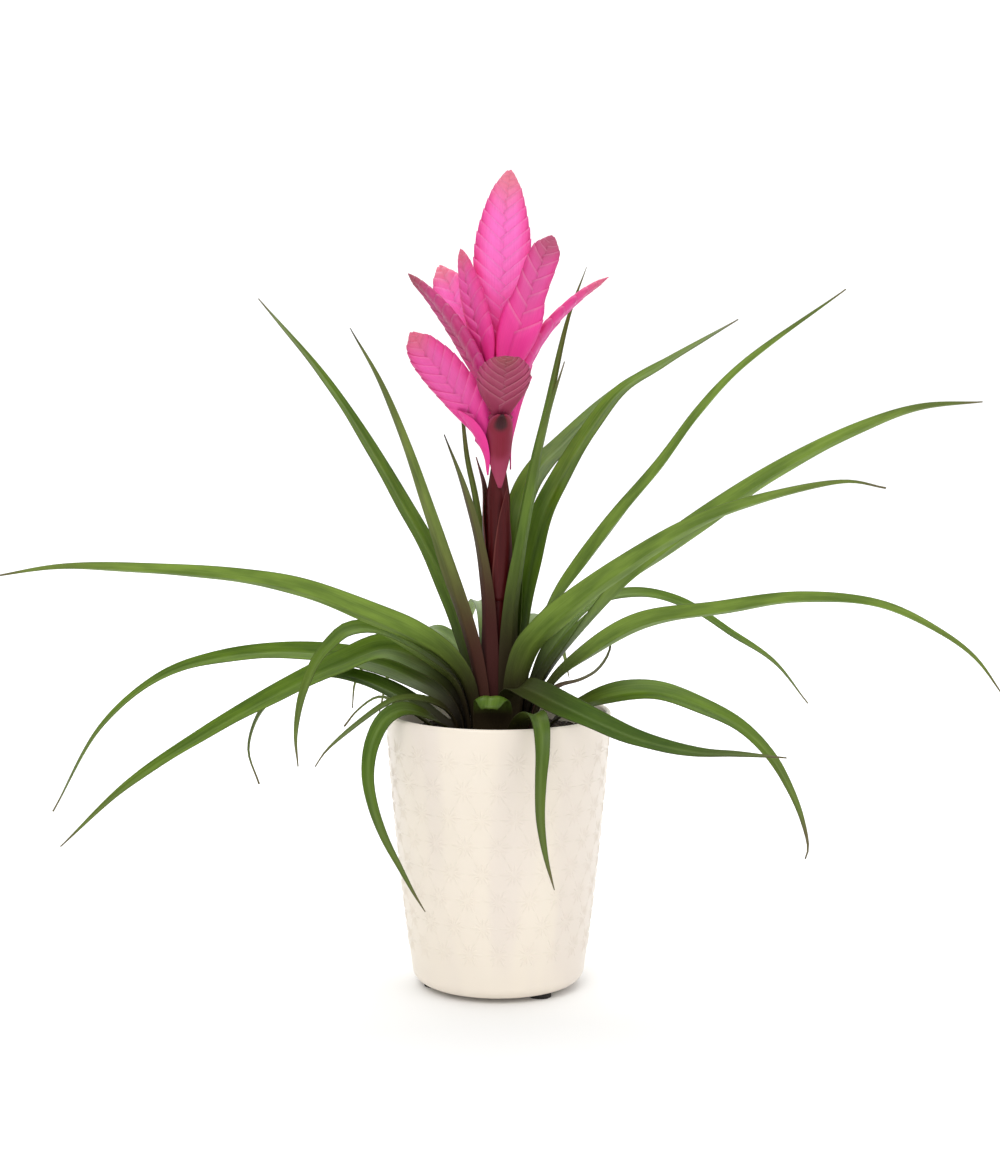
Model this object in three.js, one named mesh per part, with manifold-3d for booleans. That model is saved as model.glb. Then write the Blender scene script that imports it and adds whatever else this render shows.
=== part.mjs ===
// A bromeliad in flower in a round ceramic cover pot, in millimetres, +Z up.
// The photographed front faces -Y and +X is to its right. The origin is on the
// surface that the pot stands on, under the middle of the plant's spread.
import * as THREE from 'three';
import { mergeVertices } from 'three/addons/utils/BufferGeometryUtils.js';
import Module from 'manifold-3d';

const wasm = await Module();
wasm.setup();

// ---------------------------------------------------------------- sizes ----

const CLEARANCE = 0.3; // air left between pieces that touch

const FOOT = { radius: 6.5, height: 2.7, ringRadius: 38, angles: [-50, 70, 190], sides: 20 };

const POT = {
  rim: 161.5, // height of the top of the rim
  rimRadius: 66.2,
  baseRadius: 51,
  bulge: 1.3, // how far the side swells beyond a straight taper
  edgeRound: 8, // radius of the edge under the side
  wall: 4,
  lip: 1.6, // half the thickness of the rounded rim
  lipDepth: 10, // the wall thins to the lip over this height
  floor: 7,
  corner: 4, // bevel between the inside of the wall and the floor
  waist: 90, // height of the ring of points halfway up the inside
  sideRings: 6,
  sides: 48,
};

// Peat up to near the rim, with a round well that the plant stands in.
const SOIL = {
  top: 149,
  edge: 146, // where it meets the pot
  wellEdge: 148,
  wellRadius: 35,
  wellFloor: 136,
  gap: 0.5, // to the pot's wall
  sides: 40,
};

const PLANT_FOOT = SOIL.wellFloor + CLEARANCE; // where leaves and flower stem stand

// The flower stem: full thickness up to its shoulder, then thin among the spikes.
const SCAPE = {
  footRadius: 7,
  neckRadius: 3.8,
  topRadius: 3.2,
  shoulder: 288,
  neck: 308,
  top: 356,
  sides: 10,
};

const SCAPE_BRACTS = {
  count: 7,
  first: 142, // height of the lowest bract's foot
  rise: 17,
  firstAzimuth: -97.5,
  turn: -137.5,
  length: 66,
  width: 15,
  lift: 0.3, // off the stem's surface, so that each bract's edge shows
  stagger: 0.11, // more lift for each of three bracts in turn
  lean: 1.8, // how far a tip stands out
  flare: 1.5, // more lean for each bract above the fifth
  bulge: 0.5, // how far each bract above the fourth swells out more than the last
  outline: [[0, 0.8], [0.25, 1], [0.5, 0.8], [0.75, 0.45], [0.9, 0.2], [1, 0.07]],
};

const LEAF_RIB = 1.3; // thickness of a leaf along its middle
const LEAF_EDGE = 0.75; // and at its two edges

// Width of a leaf from its foot (0) to its tip (1), as a share of its full width.
const LEAF_OUTLINE = [[0, 0.8], [0.1, 0.98], [0.27, 1], [0.46, 0.76], [0.63, 0.55],
  [0.79, 0.38], [0.9, 0.2], [1, 0.06]];
const LEAF_CHANNEL = 0.8; // radius of the gutter across a leaf, in leaf widths
const CHANNEL_FROM = 0.05; // share of its length where the sheath starts to open out
const CHANNEL_TO = 0.3;
const TIGHTEST_CHANNEL = 1.2; // mm, near the tip
const BLUNTNESS = 0.85; // how much narrower the end of a domed leaf is

// Width of a flower spike from its stalk (0) to its tip (1).
const SPIKE_OUTLINE = [[0, 0.16], [0.12, 0.45], [0.28, 0.85], [0.45, 1], [0.6, 0.97],
  [0.76, 0.76], [0.89, 0.46], [1, 0.07]];
// The same for a spike that narrows early, and for one with broad bracts at its foot.
const LANCE_OUTLINE = [[0, 0.16], [0.12, 0.5], [0.26, 0.92], [0.38, 1], [0.52, 0.97], [0.68, 0.78],
  [0.84, 0.48], [0.93, 0.26], [1, 0.07]];
const BASAL_OUTLINE = [[0, 0.14], [0.12, 0.6], [0.28, 1], [0.4, 0.95], [0.52, 0.74], [0.78, 0.7],
  [0.9, 0.46], [1, 0.07]];
const THIN_END = 0.3; // thickness of a spike where its outline is nil, against its fullest
const CHEVRON_RISE = 0.85; // how steeply the bracts of a spike slant up from its middle
const BRACT_SPAN = 0.92; // share of a bract's pitch over which it widens
const TOOTH = 0.11; // how much wider a bract's tip is than the next bract's foot
const STEP = 0.28; // how much thicker, in the same way
const ROW_LEAD = 0.25; // how far the left row of bracts is ahead, in pitches
const SPINE = 0.8; // thickness along a spike's middle, against that of its two ribs

const HOLDER_FOLD = 0.44; // radius of the bract that folds round a spike's foot, in its widths
const HOLDER_OUTLINE = [[0, 0.12], [0.3, 0.62], [0.5, 1], [0.75, 0.95], [0.9, 0.7], [1, 0.3]];

// ------------------------------------------------------------ materials ----

function material(colour, roughness) {
  return new THREE.MeshStandardMaterial({ color: colour, roughness, metalness: 0 });
}

const GLAZE = material('#f1e7da', 0.35);
const PAD = material('#1c1b1a', 0.8);
const PEAT = material('#2b1f17', 0.95);
const MAROON = material('#5a2024', 0.5);
const PINK = material('#f2489b', 0.5);
const GREEN = material('#4f7a26', 0.45);
const OLIVE = material('#5e6238', 0.5);
const BROWN = material('#4e3a34', 0.5);

// --------------------------------------------------------------- leaves ----

// Each leaf stands in the upright plane that leaves the axis at its azimuth
// (0 is +X, 90 is the back). Its route is a list of [out, up] or
// [out, up, aside] points from the soil to the tip.
const LEAVES = [
  // innermost, round the flower stem
  { name: 'leaf_inner_right', azimuth: 25, roll: 60, width: 10, look: GREEN, rolled: [0.32, 0.6],
    route: [[9.6, PLANT_FOOT], [9.8, 190], [12, 235], [15.5, 262], [23, 303], [34, 347], [45, 390],
      [57, 420]] },
  { name: 'leaf_inner_left', azimuth: 235, roll: 0, width: 14, look: BROWN,
    route: [[10.4, PLANT_FOOT], [10.6, 205], [11, 232, -1], [13, 262, -5], [18, 293, -11.5],
      [25, 324, -20.5]] },
  { name: 'leaf_inner_back_left', azimuth: 125, roll: 0, width: 9, look: OLIVE,
    route: [[9.8, PLANT_FOOT], [10, 190], [15, 245], [24, 285], [33, 310], [38, 340], [40, 366]] },
  { name: 'leaf_inner_front_right', azimuth: -55, roll: 0, width: 14, look: GREEN,
    route: [[11.4, PLANT_FOOT], [11.6, 190], [12.2, 213, 0.7], [13, 234, 2.5], [15, 262, 6.8],
      [19, 300, 12.3], [23, 331, 17.5], [30, 366, 25.4]] },
  // rising high
  { name: 'leaf_high_left_front', azimuth: 225, roll: 28, width: 12.5, look: OLIVE, rolled: [0.2, 0.45],
    route: [[13.2, PLANT_FOOT], [13.6, 165], [14.8, 185, -2.5], [16.8, 202, -5.6], [22.5, 240, -16.5],
      [29.5, 278, -27], [36, 310, -35.8], [47.5, 353, -48.5], [60, 385, -61]] },
  { name: 'leaf_high_left', azimuth: 138, roll: -15, width: 16.5, look: GREEN,
    route: [[13.9, PLANT_FOOT], [15, 160], [20, 180], [27, 200], [47, 238], [80, 281], [114, 321],
      [149, 356], [204, 401]] },
  { name: 'leaf_high_back', azimuth: 58, roll: 20, width: 21, look: GREEN, rolled: [0.3, 0.5],
    route: [[11.5, PLANT_FOOT], [12, 200], [15.5, 240], [20, 266], [30, 287], [48, 302], [70, 312],
      [119, 334], [170, 352], [226, 367]] },
  { name: 'leaf_high_back_right', azimuth: 42, roll: 20, width: 19.5, look: GREEN, rolled: [0.15, 0.4],
    route: [[13.2, PLANT_FOOT], [13.6, 165], [16.5, 200], [24, 241], [34.5, 272], [50, 295],
      [74, 323], [99, 345], [134, 360], [204, 388]] },
  { name: 'leaf_high_right', azimuth: 28, roll: -58, width: 18, look: GREEN, rolled: [0.12, 0.35],
    route: [[15, PLANT_FOOT], [15.4, 160], [19, 185], [30, 213], [56, 244], [83, 274], [111, 302],
      [138, 333], [167, 359], [245, 407]] },
  { name: 'leaf_right_front', azimuth: -42, roll: -35, width: 20, look: GREEN,
    route: [[13, PLANT_FOOT], [13.5, 158], [17, 183], [24, 200], [36, 212], [48, 222], [91, 251],
      [147, 282], [200, 300], [243, 309], [265, 307]] },
  { name: 'leaf_right_longest', azimuth: 10, roll: -66, width: 23, look: GREEN, rolled: [0.15, 0.5],
    route: [[16.8, PLANT_FOOT], [17.4, 155], [21.4, 168], [28.5, 181], [40, 197], [73, 233],
      [121, 269.5], [170, 301], [219, 325], [256, 337], [295, 340]] },
  // arching out
  { name: 'leaf_left_long', azimuth: 194, roll: 46, width: 22, look: GREEN,
    route: [[15.2, PLANT_FOOT], [15.6, 156], [21.5, 180], [33, 195], [52, 208], [73, 218],
      [116, 236], [151, 244], [202, 250], [252, 253], [289, 249]] },
  { name: 'leaf_left_folded', azimuth: 181, roll: -50, width: 17, look: GREEN, steps: 15,
    rolled: [0.35, 0.6],
    route: [[17.8, PLANT_FOOT], [18.6, 156], [26, 178], [38, 188.5], [55, 200], [73, 209.5], [88, 209],
      [98, 201], [106, 191], [112, 178], [116, 166], [119, 146], [118, 128]] },
  { name: 'leaf_left_low', azimuth: 168, roll: -50, width: 20, look: GREEN, rolled: [0.04, 0.22],
    route: [[20.2, PLANT_FOOT], [21.6, 158], [30, 177], [45, 189], [68, 196], [95, 186], [132, 168],
      [181, 140], [232, 106], [276, 66]] },
  { name: 'leaf_left_arching', azimuth: 157, roll: -42, width: 17, look: GREEN, rolled: [0.03, 0.2],
    route: [[22.6, PLANT_FOOT], [23.4, 150], [29, 161], [38, 168], [51, 175], [77, 184], [131, 188],
      [187, 181], [230, 166], [274, 131], [311, 74]] },
  { name: 'leaf_front', azimuth: -72, roll: 40, width: 17, look: GREEN,
    route: [[16.5, PLANT_FOOT], [17, 155], [20, 170, 0.5], [28, 179, 3], [42, 178, 9], [58, 174, 17],
      [94, 168, 29], [128, 164, 40], [177, 165, 54], [205, 169, 63], [239, 173, 75]] },
  { name: 'leaf_right_drooping', azimuth: -8, roll: -45, width: 18, look: GREEN,
    route: [[20.6, PLANT_FOOT], [21, 150], [24.8, 165], [34, 180], [48, 192], [83, 214], [129, 223],
      [175, 230.5], [221, 227.5], [255, 212.5], [275, 198], [291, 177]] },
  { name: 'leaf_back_right', azimuth: 38, roll: 60, width: 14, look: GREEN, rolled: [0.2, 0.7],
    route: [[18.7, PLANT_FOOT], [19.5, 155], [30, 176], [39, 193], [67, 216], [105, 222], [145, 213],
      [186, 191], [226, 168], [257, 138]] },
  { name: 'leaf_back', azimuth: 97, roll: 0, width: 15, look: GREEN,
    route: [[15.9, PLANT_FOOT], [16.4, 158], [24, 182], [45, 203], [80, 213], [120, 210], [160, 195],
      [203, 164]] },
  { name: 'leaf_back_low_right', azimuth: 76, roll: 10, width: 14, look: GREEN,
    route: [[20.6, PLANT_FOOT], [21, 152], [31, 175], [50, 194], [85, 203], [130, 198], [165, 180],
      [195, 150]] },
  { name: 'leaf_back_low_left', azimuth: 116, roll: -10, width: 13, look: GREEN,
    route: [[21.8, PLANT_FOOT], [22.4, 150], [33, 171], [55, 190], [90, 198], [130, 186], [160, 162],
      [178, 132]] },
  // lowest, over the rim
  { name: 'leaf_rim_back_left', azimuth: 160, roll: -30, width: 15, look: GREEN,
    route: [[26.5, PLANT_FOOT], [28, 147], [41, 155], [58, 164], [72, 170], [88, 175], [108, 177],
      [130, 170], [148, 158], [158, 145], [163, 126], [156, 106]] },
  { name: 'leaf_rim_back_left_thin', azimuth: 136, roll: 0, width: 8, look: GREEN,
    route: [[28.4, PLANT_FOOT], [29, 147], [38, 162], [64, 178], [95, 184], [112, 178], [124, 164],
      [127, 147]] },
  { name: 'leaf_rim_left_short', azimuth: 178, roll: 0, width: 6, look: GREEN,
    route: [[31, PLANT_FOOT], [32, 146], [41, 153], [56, 163], [70, 169], [83, 161], [91, 151]] },
  { name: 'leaf_rim_left', azimuth: 202, roll: -25, width: 8.5, look: GREEN,
    route: [[25.2, PLANT_FOOT], [25.8, 150], [31, 162], [42, 169], [55, 172], [66, 171], [86, 160],
      [107, 144], [113, 136]] },
  { name: 'leaf_rim_front_left', azimuth: 215, roll: -40, width: 12, look: GREEN, steps: 15,
    route: [[28, PLANT_FOOT], [29, 146], [37, 155], [52, 164], [67, 168], [79, 164, 0.5],
      [88, 151, 1], [92, 134, 3], [92, 117, 8], [90, 101, 16], [86, 84, 27], [83, 70, 37],
      [80, 61, 43]] },
  { name: 'leaf_rim_front', azimuth: -71, roll: 0, width: 13, look: GREEN, steps: 15,
    route: [[28, PLANT_FOOT], [29, 148], [38, 159], [52, 166.5], [66, 169.5], [76, 165, -1], [83, 152, -3],
      [86, 137, -5], [89, 115, -6], [92, 95, -4], [96, 76]] },
  { name: 'leaf_rim_right', azimuth: -12, roll: 40, width: 17.5, look: GREEN,
    route: [[27, PLANT_FOOT], [28, 148], [36, 158], [50, 166], [66, 172], [80, 175], [96, 175],
      [119, 168], [142, 157], [160, 140], [172, 120], [179, 103],
      [182.5, 87], [181, 81]] },
  { name: 'leaf_rim_back_right', azimuth: 48, roll: 0, width: 7, look: OLIVE,
    route: [[24, PLANT_FOOT], [25, 149], [36, 162], [56, 169], [76, 170.5], [92, 175], [102, 184],
      [104, 191], [103, 199]] },
  { name: 'leaf_front_short', azimuth: -97, roll: 0, width: 25, look: GREEN, steps: 8, domed: true,
    route: [[22, PLANT_FOOT], [22.4, 156], [25, 168], [30, 175], [37, 175.5], [43, 170]] },
];

// --------------------------------------------------------------- spikes ----

// The flower head: each spike has its own stalk on the top of the flower stem.
// roll turns its flat side about its own run.
const SPIKES = [
  { name: 'spike_top', azimuth: 0, roll: 90, width: 34, thickness: 7, bracts: 12,
    outline: LANCE_OUTLINE,
    route: [[1.6, SCAPE.top + CLEARANCE], [2.2, 372], [2.4, 396], [2.6, 424], [4, 450], [6.6, 475]] },
  { name: 'spike_upper_right', azimuth: -50, roll: -50, width: 25, thickness: 6.5, bracts: 7,
    outline: BASAL_OUTLINE,
    route: [[4.9, 350], [8.8, 364], [15, 381, 1], [23, 401, 3], [31, 420, 5], [39.5, 437, 7]] },
  { name: 'spike_upper_left', azimuth: 202, roll: 20, width: 21, thickness: 6.5, bracts: 7,
    outline: LANCE_OUTLINE,
    route: [[4.6, 355], [7.6, 372], [13, 392], [18, 411], [23, 430]] },
  { name: 'spike_upper_back', azimuth: 45, roll: 0, width: 20, thickness: 6, bracts: 7,
    route: [[4.6, 352], [9, 370], [15, 388], [22, 405], [28, 420]] },
  { name: 'spike_back_left', azimuth: 142, roll: -45, width: 24, thickness: 5.5, bracts: 7,
    route: [[4.8, 344], [10, 360], [20, 380], [32, 401], [44, 421]] },
  { name: 'spike_left', azimuth: 188, roll: 18, width: 20, thickness: 7, bracts: 8,
    outline: LANCE_OUTLINE,
    route: [[4.8, 338], [8, 352], [15, 368], [25, 385], [38, 402], [52, 416]] },
  { name: 'spike_right', azimuth: 6, roll: -14, width: 19, thickness: 6.5, bracts: 8,
    outline: LANCE_OUTLINE,
    route: [[6.4, 316], [8, 332], [11.5, 350], [17.5, 367], [27, 383], [39, 396], [51, 406], [64, 414]],
    holder: { width: 11, route: [[7.1, 303], [7.5, 317], [10.3, 330], [14.6, 345], [19.5, 357]] } },
  { name: 'spike_back', azimuth: 98, roll: 0, width: 22, thickness: 6.5, bracts: 7,
    route: [[4.8, 334], [9, 348], [16, 365], [26, 384], [36, 400]] },
  { name: 'spike_low_back_right', azimuth: 70, roll: 0, width: 22, thickness: 6.5, bracts: 6,
    route: [[5, 324], [10, 336], [19, 350], [30, 363], [40, 374]],
    holder: { width: 9, route: [[5.3, 312], [6.5, 320], [9.5, 329], [15.5, 338], [23, 346]] } },
  { name: 'spike_low_back_left', azimuth: 140, roll: 0, width: 20, thickness: 6.5, bracts: 6,
    route: [[5, 319], [10, 331], [18, 344], [28, 355], [36, 363]],
    holder: { width: 9, route: [[5.3, 307], [6.5, 315], [9.5, 324], [15.5, 333], [23, 340]] } },
  { name: 'spike_low_front', azimuth: -84, roll: 0, width: 31, thickness: 7, bracts: 6, stalk: 0.28,
    outline: LANCE_OUTLINE,
    route: [[5.4, 311], [6.6, 319], [10, 330], [18, 342], [29, 356], [42, 370]],
    holder: { width: 19, route: [[8.4, 293], [6.6, 303], [6.9, 311], [11, 322], [16, 331], [21, 336]] } },
  { name: 'spike_low_left', azimuth: 208, roll: 45, width: 27, thickness: 6.5, bracts: 9,
    route: [[5.4, 314], [10, 325], [20, 341], [33, 357], [45, 370], [56, 383]],
    holder: { width: 14, route: [[6.9, 300], [8.2, 310], [12.5, 319], [19, 329], [26, 338]] } },
];

// -------------------------------------------------------------- helpers ----

const part = new THREE.Group();

// The pot and the plant, which the foot pads lift off the surface.
const potted = new THREE.Group();
potted.position.z = FOOT.height + CLEARANCE;
part.add(potted);

function addMesh(group, name, geometry, look) {
  const mesh = new THREE.Mesh(geometry, look);
  mesh.name = name;
  group.add(mesh);
  return mesh;
}

// A value read off a list of [position, value] pairs, straight between them.
function readOff(profile, t) {
  const next = profile.findIndex(([at]) => at >= t);
  if (next <= 0) return profile[next === 0 ? 0 : profile.length - 1][1];
  const [t0, v0] = profile[next - 1];
  const [t1, v1] = profile[next];
  return THREE.MathUtils.mapLinear(t, t0, t1, v0, v1);
}

function toSolid(geometry) {
  const bare = new THREE.BufferGeometry();
  bare.setAttribute('position', geometry.getAttribute('position').clone());
  bare.setIndex(geometry.index.clone());
  const merged = mergeVertices(bare, 1e-4);
  return new wasm.Manifold(new wasm.Mesh({
    numProp: 3,
    vertProperties: Float32Array.from(merged.getAttribute('position').array),
    triVerts: Uint32Array.from(merged.index.array),
  }));
}

function toGeometry(solid) {
  const mesh = solid.getMesh();
  const geometry = new THREE.BufferGeometry();
  geometry.setAttribute('position', new THREE.BufferAttribute(mesh.vertProperties, 3));
  geometry.setIndex(new THREE.BufferAttribute(mesh.triVerts, 1));
  geometry.computeVertexNormals();
  return geometry;
}

function join(geometries) {
  const solids = geometries.map(toSolid);
  return toGeometry(solids.reduce((whole, next) => whole.add(next)));
}

// Closes the flat ring of corners that starts at `first`, working in from its
// two ends, because a curved blade's section has no inside point to fan from.
function capIndex(first, corners, facesBack) {
  const index = [];
  let low = 0;
  let high = corners - 1;
  while (high - low > 1) {
    index.push([low, low + 1, high]);
    low += 1;
    if (high - low > 1) {
      index.push([low, high - 1, high]);
      high -= 1;
    }
  }
  return index.flatMap(([a, b, c]) => (facesBack ? [a, c, b] : [a, b, c]).map((k) => first + k));
}

// A closed skin over rings of points. Each ring goes across the upper face
// from left to right, then back under it. The faces are split into triangles
// alike above and below.
function skin(rings) {
  const corners = rings[0].length;
  const index = capIndex(0, corners, true);
  for (let i = 0; i < rings.length - 1; i += 1) {
    for (let j = 0; j < corners; j += 1) {
      const a = i * corners + j;
      const b = i * corners + ((j + 1) % corners);
      const above = j < corners / 2;
      if (above) index.push(a, b, b + corners, a, b + corners, a + corners);
      else index.push(a, b, a + corners, b, b + corners, a + corners);
    }
  }
  index.push(...capIndex((rings.length - 1) * corners, corners, false));
  const geometry = new THREE.BufferGeometry();
  const positions = rings.flat().flatMap((p) => [p.x, p.y, p.z]);
  geometry.setAttribute('position', new THREE.Float32BufferAttribute(positions, 3));
  geometry.setIndex(index);
  return geometry;
}

// A smooth curve through [out, up, aside] points in the upright plane that
// leaves the axis at this azimuth.
function routeCurve(azimuth, route) {
  const angle = THREE.MathUtils.degToRad(azimuth);
  const outward = new THREE.Vector3(Math.cos(angle), Math.sin(angle), 0);
  const leftward = new THREE.Vector3(-Math.sin(angle), Math.cos(angle), 0);
  const points = route.map(([out, up, aside = 0]) => new THREE.Vector3(0, 0, up)
    .addScaledVector(outward, out)
    .addScaledVector(leftward, aside));
  const curve = new THREE.CatmullRomCurve3(points, false, 'centripetal');
  curve.arcLengthDivisions = 400;
  return { curve, leftward };
}

// Place, run, width direction and upper face direction at share t of a route.
function frameAt({ curve, leftward }, t, roll) {
  const place = curve.getPointAt(t);
  const run = curve.getTangentAt(t);
  const across = leftward.clone().addScaledVector(run, -leftward.dot(run)).normalize();
  across.applyAxisAngle(run, THREE.MathUtils.degToRad(roll));
  const face = run.clone().cross(across);
  return { place, run, across, face };
}

// One section of a leaf or bract: an arc of radius `bend`, thickest in the middle.
function bladeRing({ place, across, face }, width, bend) {
  const upper = [];
  const lower = [];
  for (const lane of [1, 0.5, 0, -0.5, -1]) {
    const turn = (lane * width) / 2 / bend;
    const middle = place.clone()
      .addScaledVector(across, bend * Math.sin(turn))
      .addScaledVector(face, bend * (1 - Math.cos(turn)));
    const normal = face.clone().multiplyScalar(Math.cos(turn)).addScaledVector(across, -Math.sin(turn));
    const half = THREE.MathUtils.lerp(LEAF_RIB, LEAF_EDGE, Math.abs(lane)) / 2;
    upper.push(middle.clone().addScaledVector(normal, half));
    lower.unshift(middle.clone().addScaledVector(normal, -half));
  }
  return [...upper, ...lower];
}

// ----------------------------------------------------------- the pieces ----

// `roll` turns a leaf's face about its run, between the two shares in `rolled`.
// The edges of a leaf stand up, or hang and close round a blunt end if it is `domed`.
function leafGeometry(leaf) {
  const { azimuth, route, width, roll, domed = false, steps = 12 } = leaf;
  const { rolled = [CHANNEL_FROM, CHANNEL_TO] } = leaf;
  const run = routeCurve(azimuth, route);
  const footRadius = route[0][0];
  const rings = [];
  for (let i = 0; i <= steps; i += 1) {
    const t = i / steps;
    const share = domed ? Math.sqrt(1 - BLUNTNESS * t ** 4) : readOff(LEAF_OUTLINE, t);
    const across = width * share;
    const open = THREE.MathUtils.smoothstep(t, CHANNEL_FROM, CHANNEL_TO);
    const channel = Math.max(across * LEAF_CHANNEL, TIGHTEST_CHANNEL);
    const bend = domed
      ? 1 / THREE.MathUtils.lerp(1 / footRadius, -1 / channel, open)
      : THREE.MathUtils.lerp(footRadius, channel, open);
    const turn = roll * THREE.MathUtils.smoothstep(t, ...rolled);
    rings.push(bladeRing(frameAt(run, t, turn), across, bend));
  }
  return skin(rings);
}

function spikeRing({ place, run, across, face }, width, thickness, lead) {
  const at = (lane, lift) => place.clone()
    .addScaledVector(across, (lane * width) / 2)
    .addScaledVector(run, (CHEVRON_RISE * Math.abs(lane) * width) / 2 + lead * lane)
    .addScaledVector(face, (lift * thickness) / 2);
  return [
    at(1, 0), at(0.5, 1), at(0, SPINE), at(-0.5, 1),
    at(-1, 0), at(-0.5, -1), at(0, -SPINE), at(0.5, -1),
  ];
}

// A flat spike of folded bracts in two rows: each bract widens and thickens
// to its tip, and the next one starts narrower inside it. `stalk` is the share
// of its length that stays narrow, and `holder` the bract that holds it.
function spikeGeometry(spike) {
  const { azimuth, route, roll, width, thickness, bracts, holder } = spike;
  const { stalk = 0, outline: widths = SPIKE_OUTLINE } = spike;
  const run = routeCurve(azimuth, route);
  const pitch = 1 / bracts;
  const lead = run.curve.getLength() * pitch * ROW_LEAD;
  const rings = [];
  const addRing = (t, share) => {
    const outline = readOff(widths, Math.max(0, (t - stalk) / (1 - stalk)));
    const deep = THREE.MathUtils.lerp(THIN_END, 1, outline);
    const narrow = 1 - TOOTH * (1 - share);
    const thin = 1 - STEP * (1 - share);
    rings.push(spikeRing(
      frameAt(run, t, roll),
      width * outline * narrow,
      thickness * deep * thin,
      lead * Math.min(outline * 2, 1),
    ));
  };
  for (let i = 0; i < bracts; i += 1) {
    addRing(i * pitch, 0);
    addRing((i + BRACT_SPAN) * pitch, 1);
  }
  addRing(1, 0);
  const blade = skin(rings);
  return holder ? join([blade, holderGeometry(azimuth, holder)]) : blade;
}

// The folded bract that holds a lower spike from outside.
function holderGeometry(azimuth, { width, route }) {
  const run = routeCurve(azimuth, route);
  return skin(HOLDER_OUTLINE.map(
    ([t, share]) => bladeRing(frameAt(run, t, 0), width * share, width * HOLDER_FOLD),
  ));
}

// Radius of the outside of the pot's side at a height.
function outerRadius(height) {
  const u = (height - POT.edgeRound) / (POT.rim - POT.lip - POT.edgeRound);
  return THREE.MathUtils.lerp(POT.baseRadius, POT.rimRadius, u) + POT.bulge * 4 * u * (1 - u);
}

function innerPoint(height, inset = 0) {
  return new THREE.Vector2(outerRadius(height) - POT.wall - inset, height);
}

function arc(x, y, radius, angles) {
  return angles.map((degrees) => {
    const a = THREE.MathUtils.degToRad(degrees);
    return new THREE.Vector2(x + radius * Math.cos(a), y + radius * Math.sin(a));
  });
}

// LatheGeometry turns about Y, so its result is stood up along Z.
function turned(profile, sides) {
  return new THREE.LatheGeometry(profile, sides).rotateX(Math.PI / 2);
}

function potGeometry() {
  const sideTop = POT.rim - POT.lip;
  const side = Array.from({ length: POT.sideRings + 1 }, (_, i) => {
    const height = THREE.MathUtils.lerp(POT.edgeRound, sideTop, i / POT.sideRings);
    return new THREE.Vector2(outerRadius(height), height);
  });
  return turned([
    new THREE.Vector2(0, 0),
    ...arc(POT.baseRadius - POT.edgeRound, POT.edgeRound, POT.edgeRound, [-90, -60, -30]),
    ...side,
    ...arc(POT.rimRadius - POT.lip, sideTop, POT.lip, [45, 90, 135]),
    new THREE.Vector2(POT.rimRadius - 2 * POT.lip, sideTop),
    innerPoint(sideTop - POT.lipDepth),
    innerPoint(POT.waist),
    innerPoint(POT.floor + POT.corner),
    innerPoint(POT.floor, POT.corner),
    new THREE.Vector2(0, POT.floor),
  ], POT.sides);
}

function soilGeometry() {
  const bottom = POT.floor + CLEARANCE;
  const edge = innerPoint(SOIL.edge, SOIL.gap);
  return turned([
    new THREE.Vector2(0, bottom),
    innerPoint(bottom, POT.corner + SOIL.gap),
    innerPoint(bottom + POT.corner, SOIL.gap),
    innerPoint(POT.waist, SOIL.gap),
    edge,
    new THREE.Vector2((SOIL.wellRadius + edge.x) / 2, SOIL.top),
    new THREE.Vector2(SOIL.wellRadius, SOIL.wellEdge),
    new THREE.Vector2(SOIL.wellRadius, SOIL.wellFloor),
    new THREE.Vector2(0, SOIL.wellFloor),
  ], SOIL.sides);
}

// The flower stem: a round core with pointed bracts clasping it.
function scapeGeometry() {
  const heights = [PLANT_FOOT, SCAPE.shoulder, SCAPE.neck, SCAPE.top];
  const radii = [SCAPE.footRadius, SCAPE.footRadius, SCAPE.neckRadius, SCAPE.topRadius];
  const rings = heights.map((height, i) => {
    const ring = [];
    for (let k = 0; k < SCAPE.sides; k += 1) {
      const a = (k * 2 * Math.PI) / SCAPE.sides;
      ring.push(new THREE.Vector3(radii[i] * Math.sin(a), -radii[i] * Math.cos(a), height));
    }
    return ring;
  });
  const pieces = [skin(rings)];
  for (let i = 0; i < SCAPE_BRACTS.count; i += 1) pieces.push(scapeBract(i));
  return join(pieces);
}

function scapeBract(i) {
  const { first, rise, length, width, lift, stagger, lean, flare, bulge, outline } = SCAPE_BRACTS;
  const foot = first + i * rise;
  const inside = SCAPE.footRadius + lift + stagger * (i % 3);
  const body = lift + bulge * Math.max(0, i - 3);
  const tip = lean + flare * Math.max(0, i - 4);
  const swell = [[0, 0], [0.4, body], [0.75, body + lift], [1, body + tip]];
  const run = routeCurve(
    SCAPE_BRACTS.firstAzimuth + i * SCAPE_BRACTS.turn,
    swell.map(([share, out]) => [inside + out, foot + share * length]),
  );
  return skin(outline.map(
    ([t, share]) => bladeRing(frameAt(run, t, 0), width * share, inside + lean * t),
  ));
}

// ------------------------------------------------------------- assembly ----

addMesh(potted, 'pot', potGeometry(), GLAZE);

FOOT.angles.forEach((degrees, i) => {
  const geometry = new THREE.CylinderGeometry(FOOT.radius, FOOT.radius, FOOT.height, FOOT.sides)
    .rotateX(Math.PI / 2);
  const foot = addMesh(part, `foot_${i + 1}`, geometry, PAD);
  const angle = THREE.MathUtils.degToRad(degrees);
  foot.position.set(FOOT.ringRadius * Math.cos(angle), FOOT.ringRadius * Math.sin(angle), FOOT.height / 2);
});

addMesh(potted, 'soil', soilGeometry(), PEAT);
addMesh(potted, 'flower_stem', scapeGeometry(), MAROON);
for (const spike of SPIKES) addMesh(potted, spike.name, spikeGeometry(spike), PINK);
for (const leaf of LEAVES) addMesh(potted, leaf.name, leafGeometry(leaf), leaf.look);

export default part;
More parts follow.
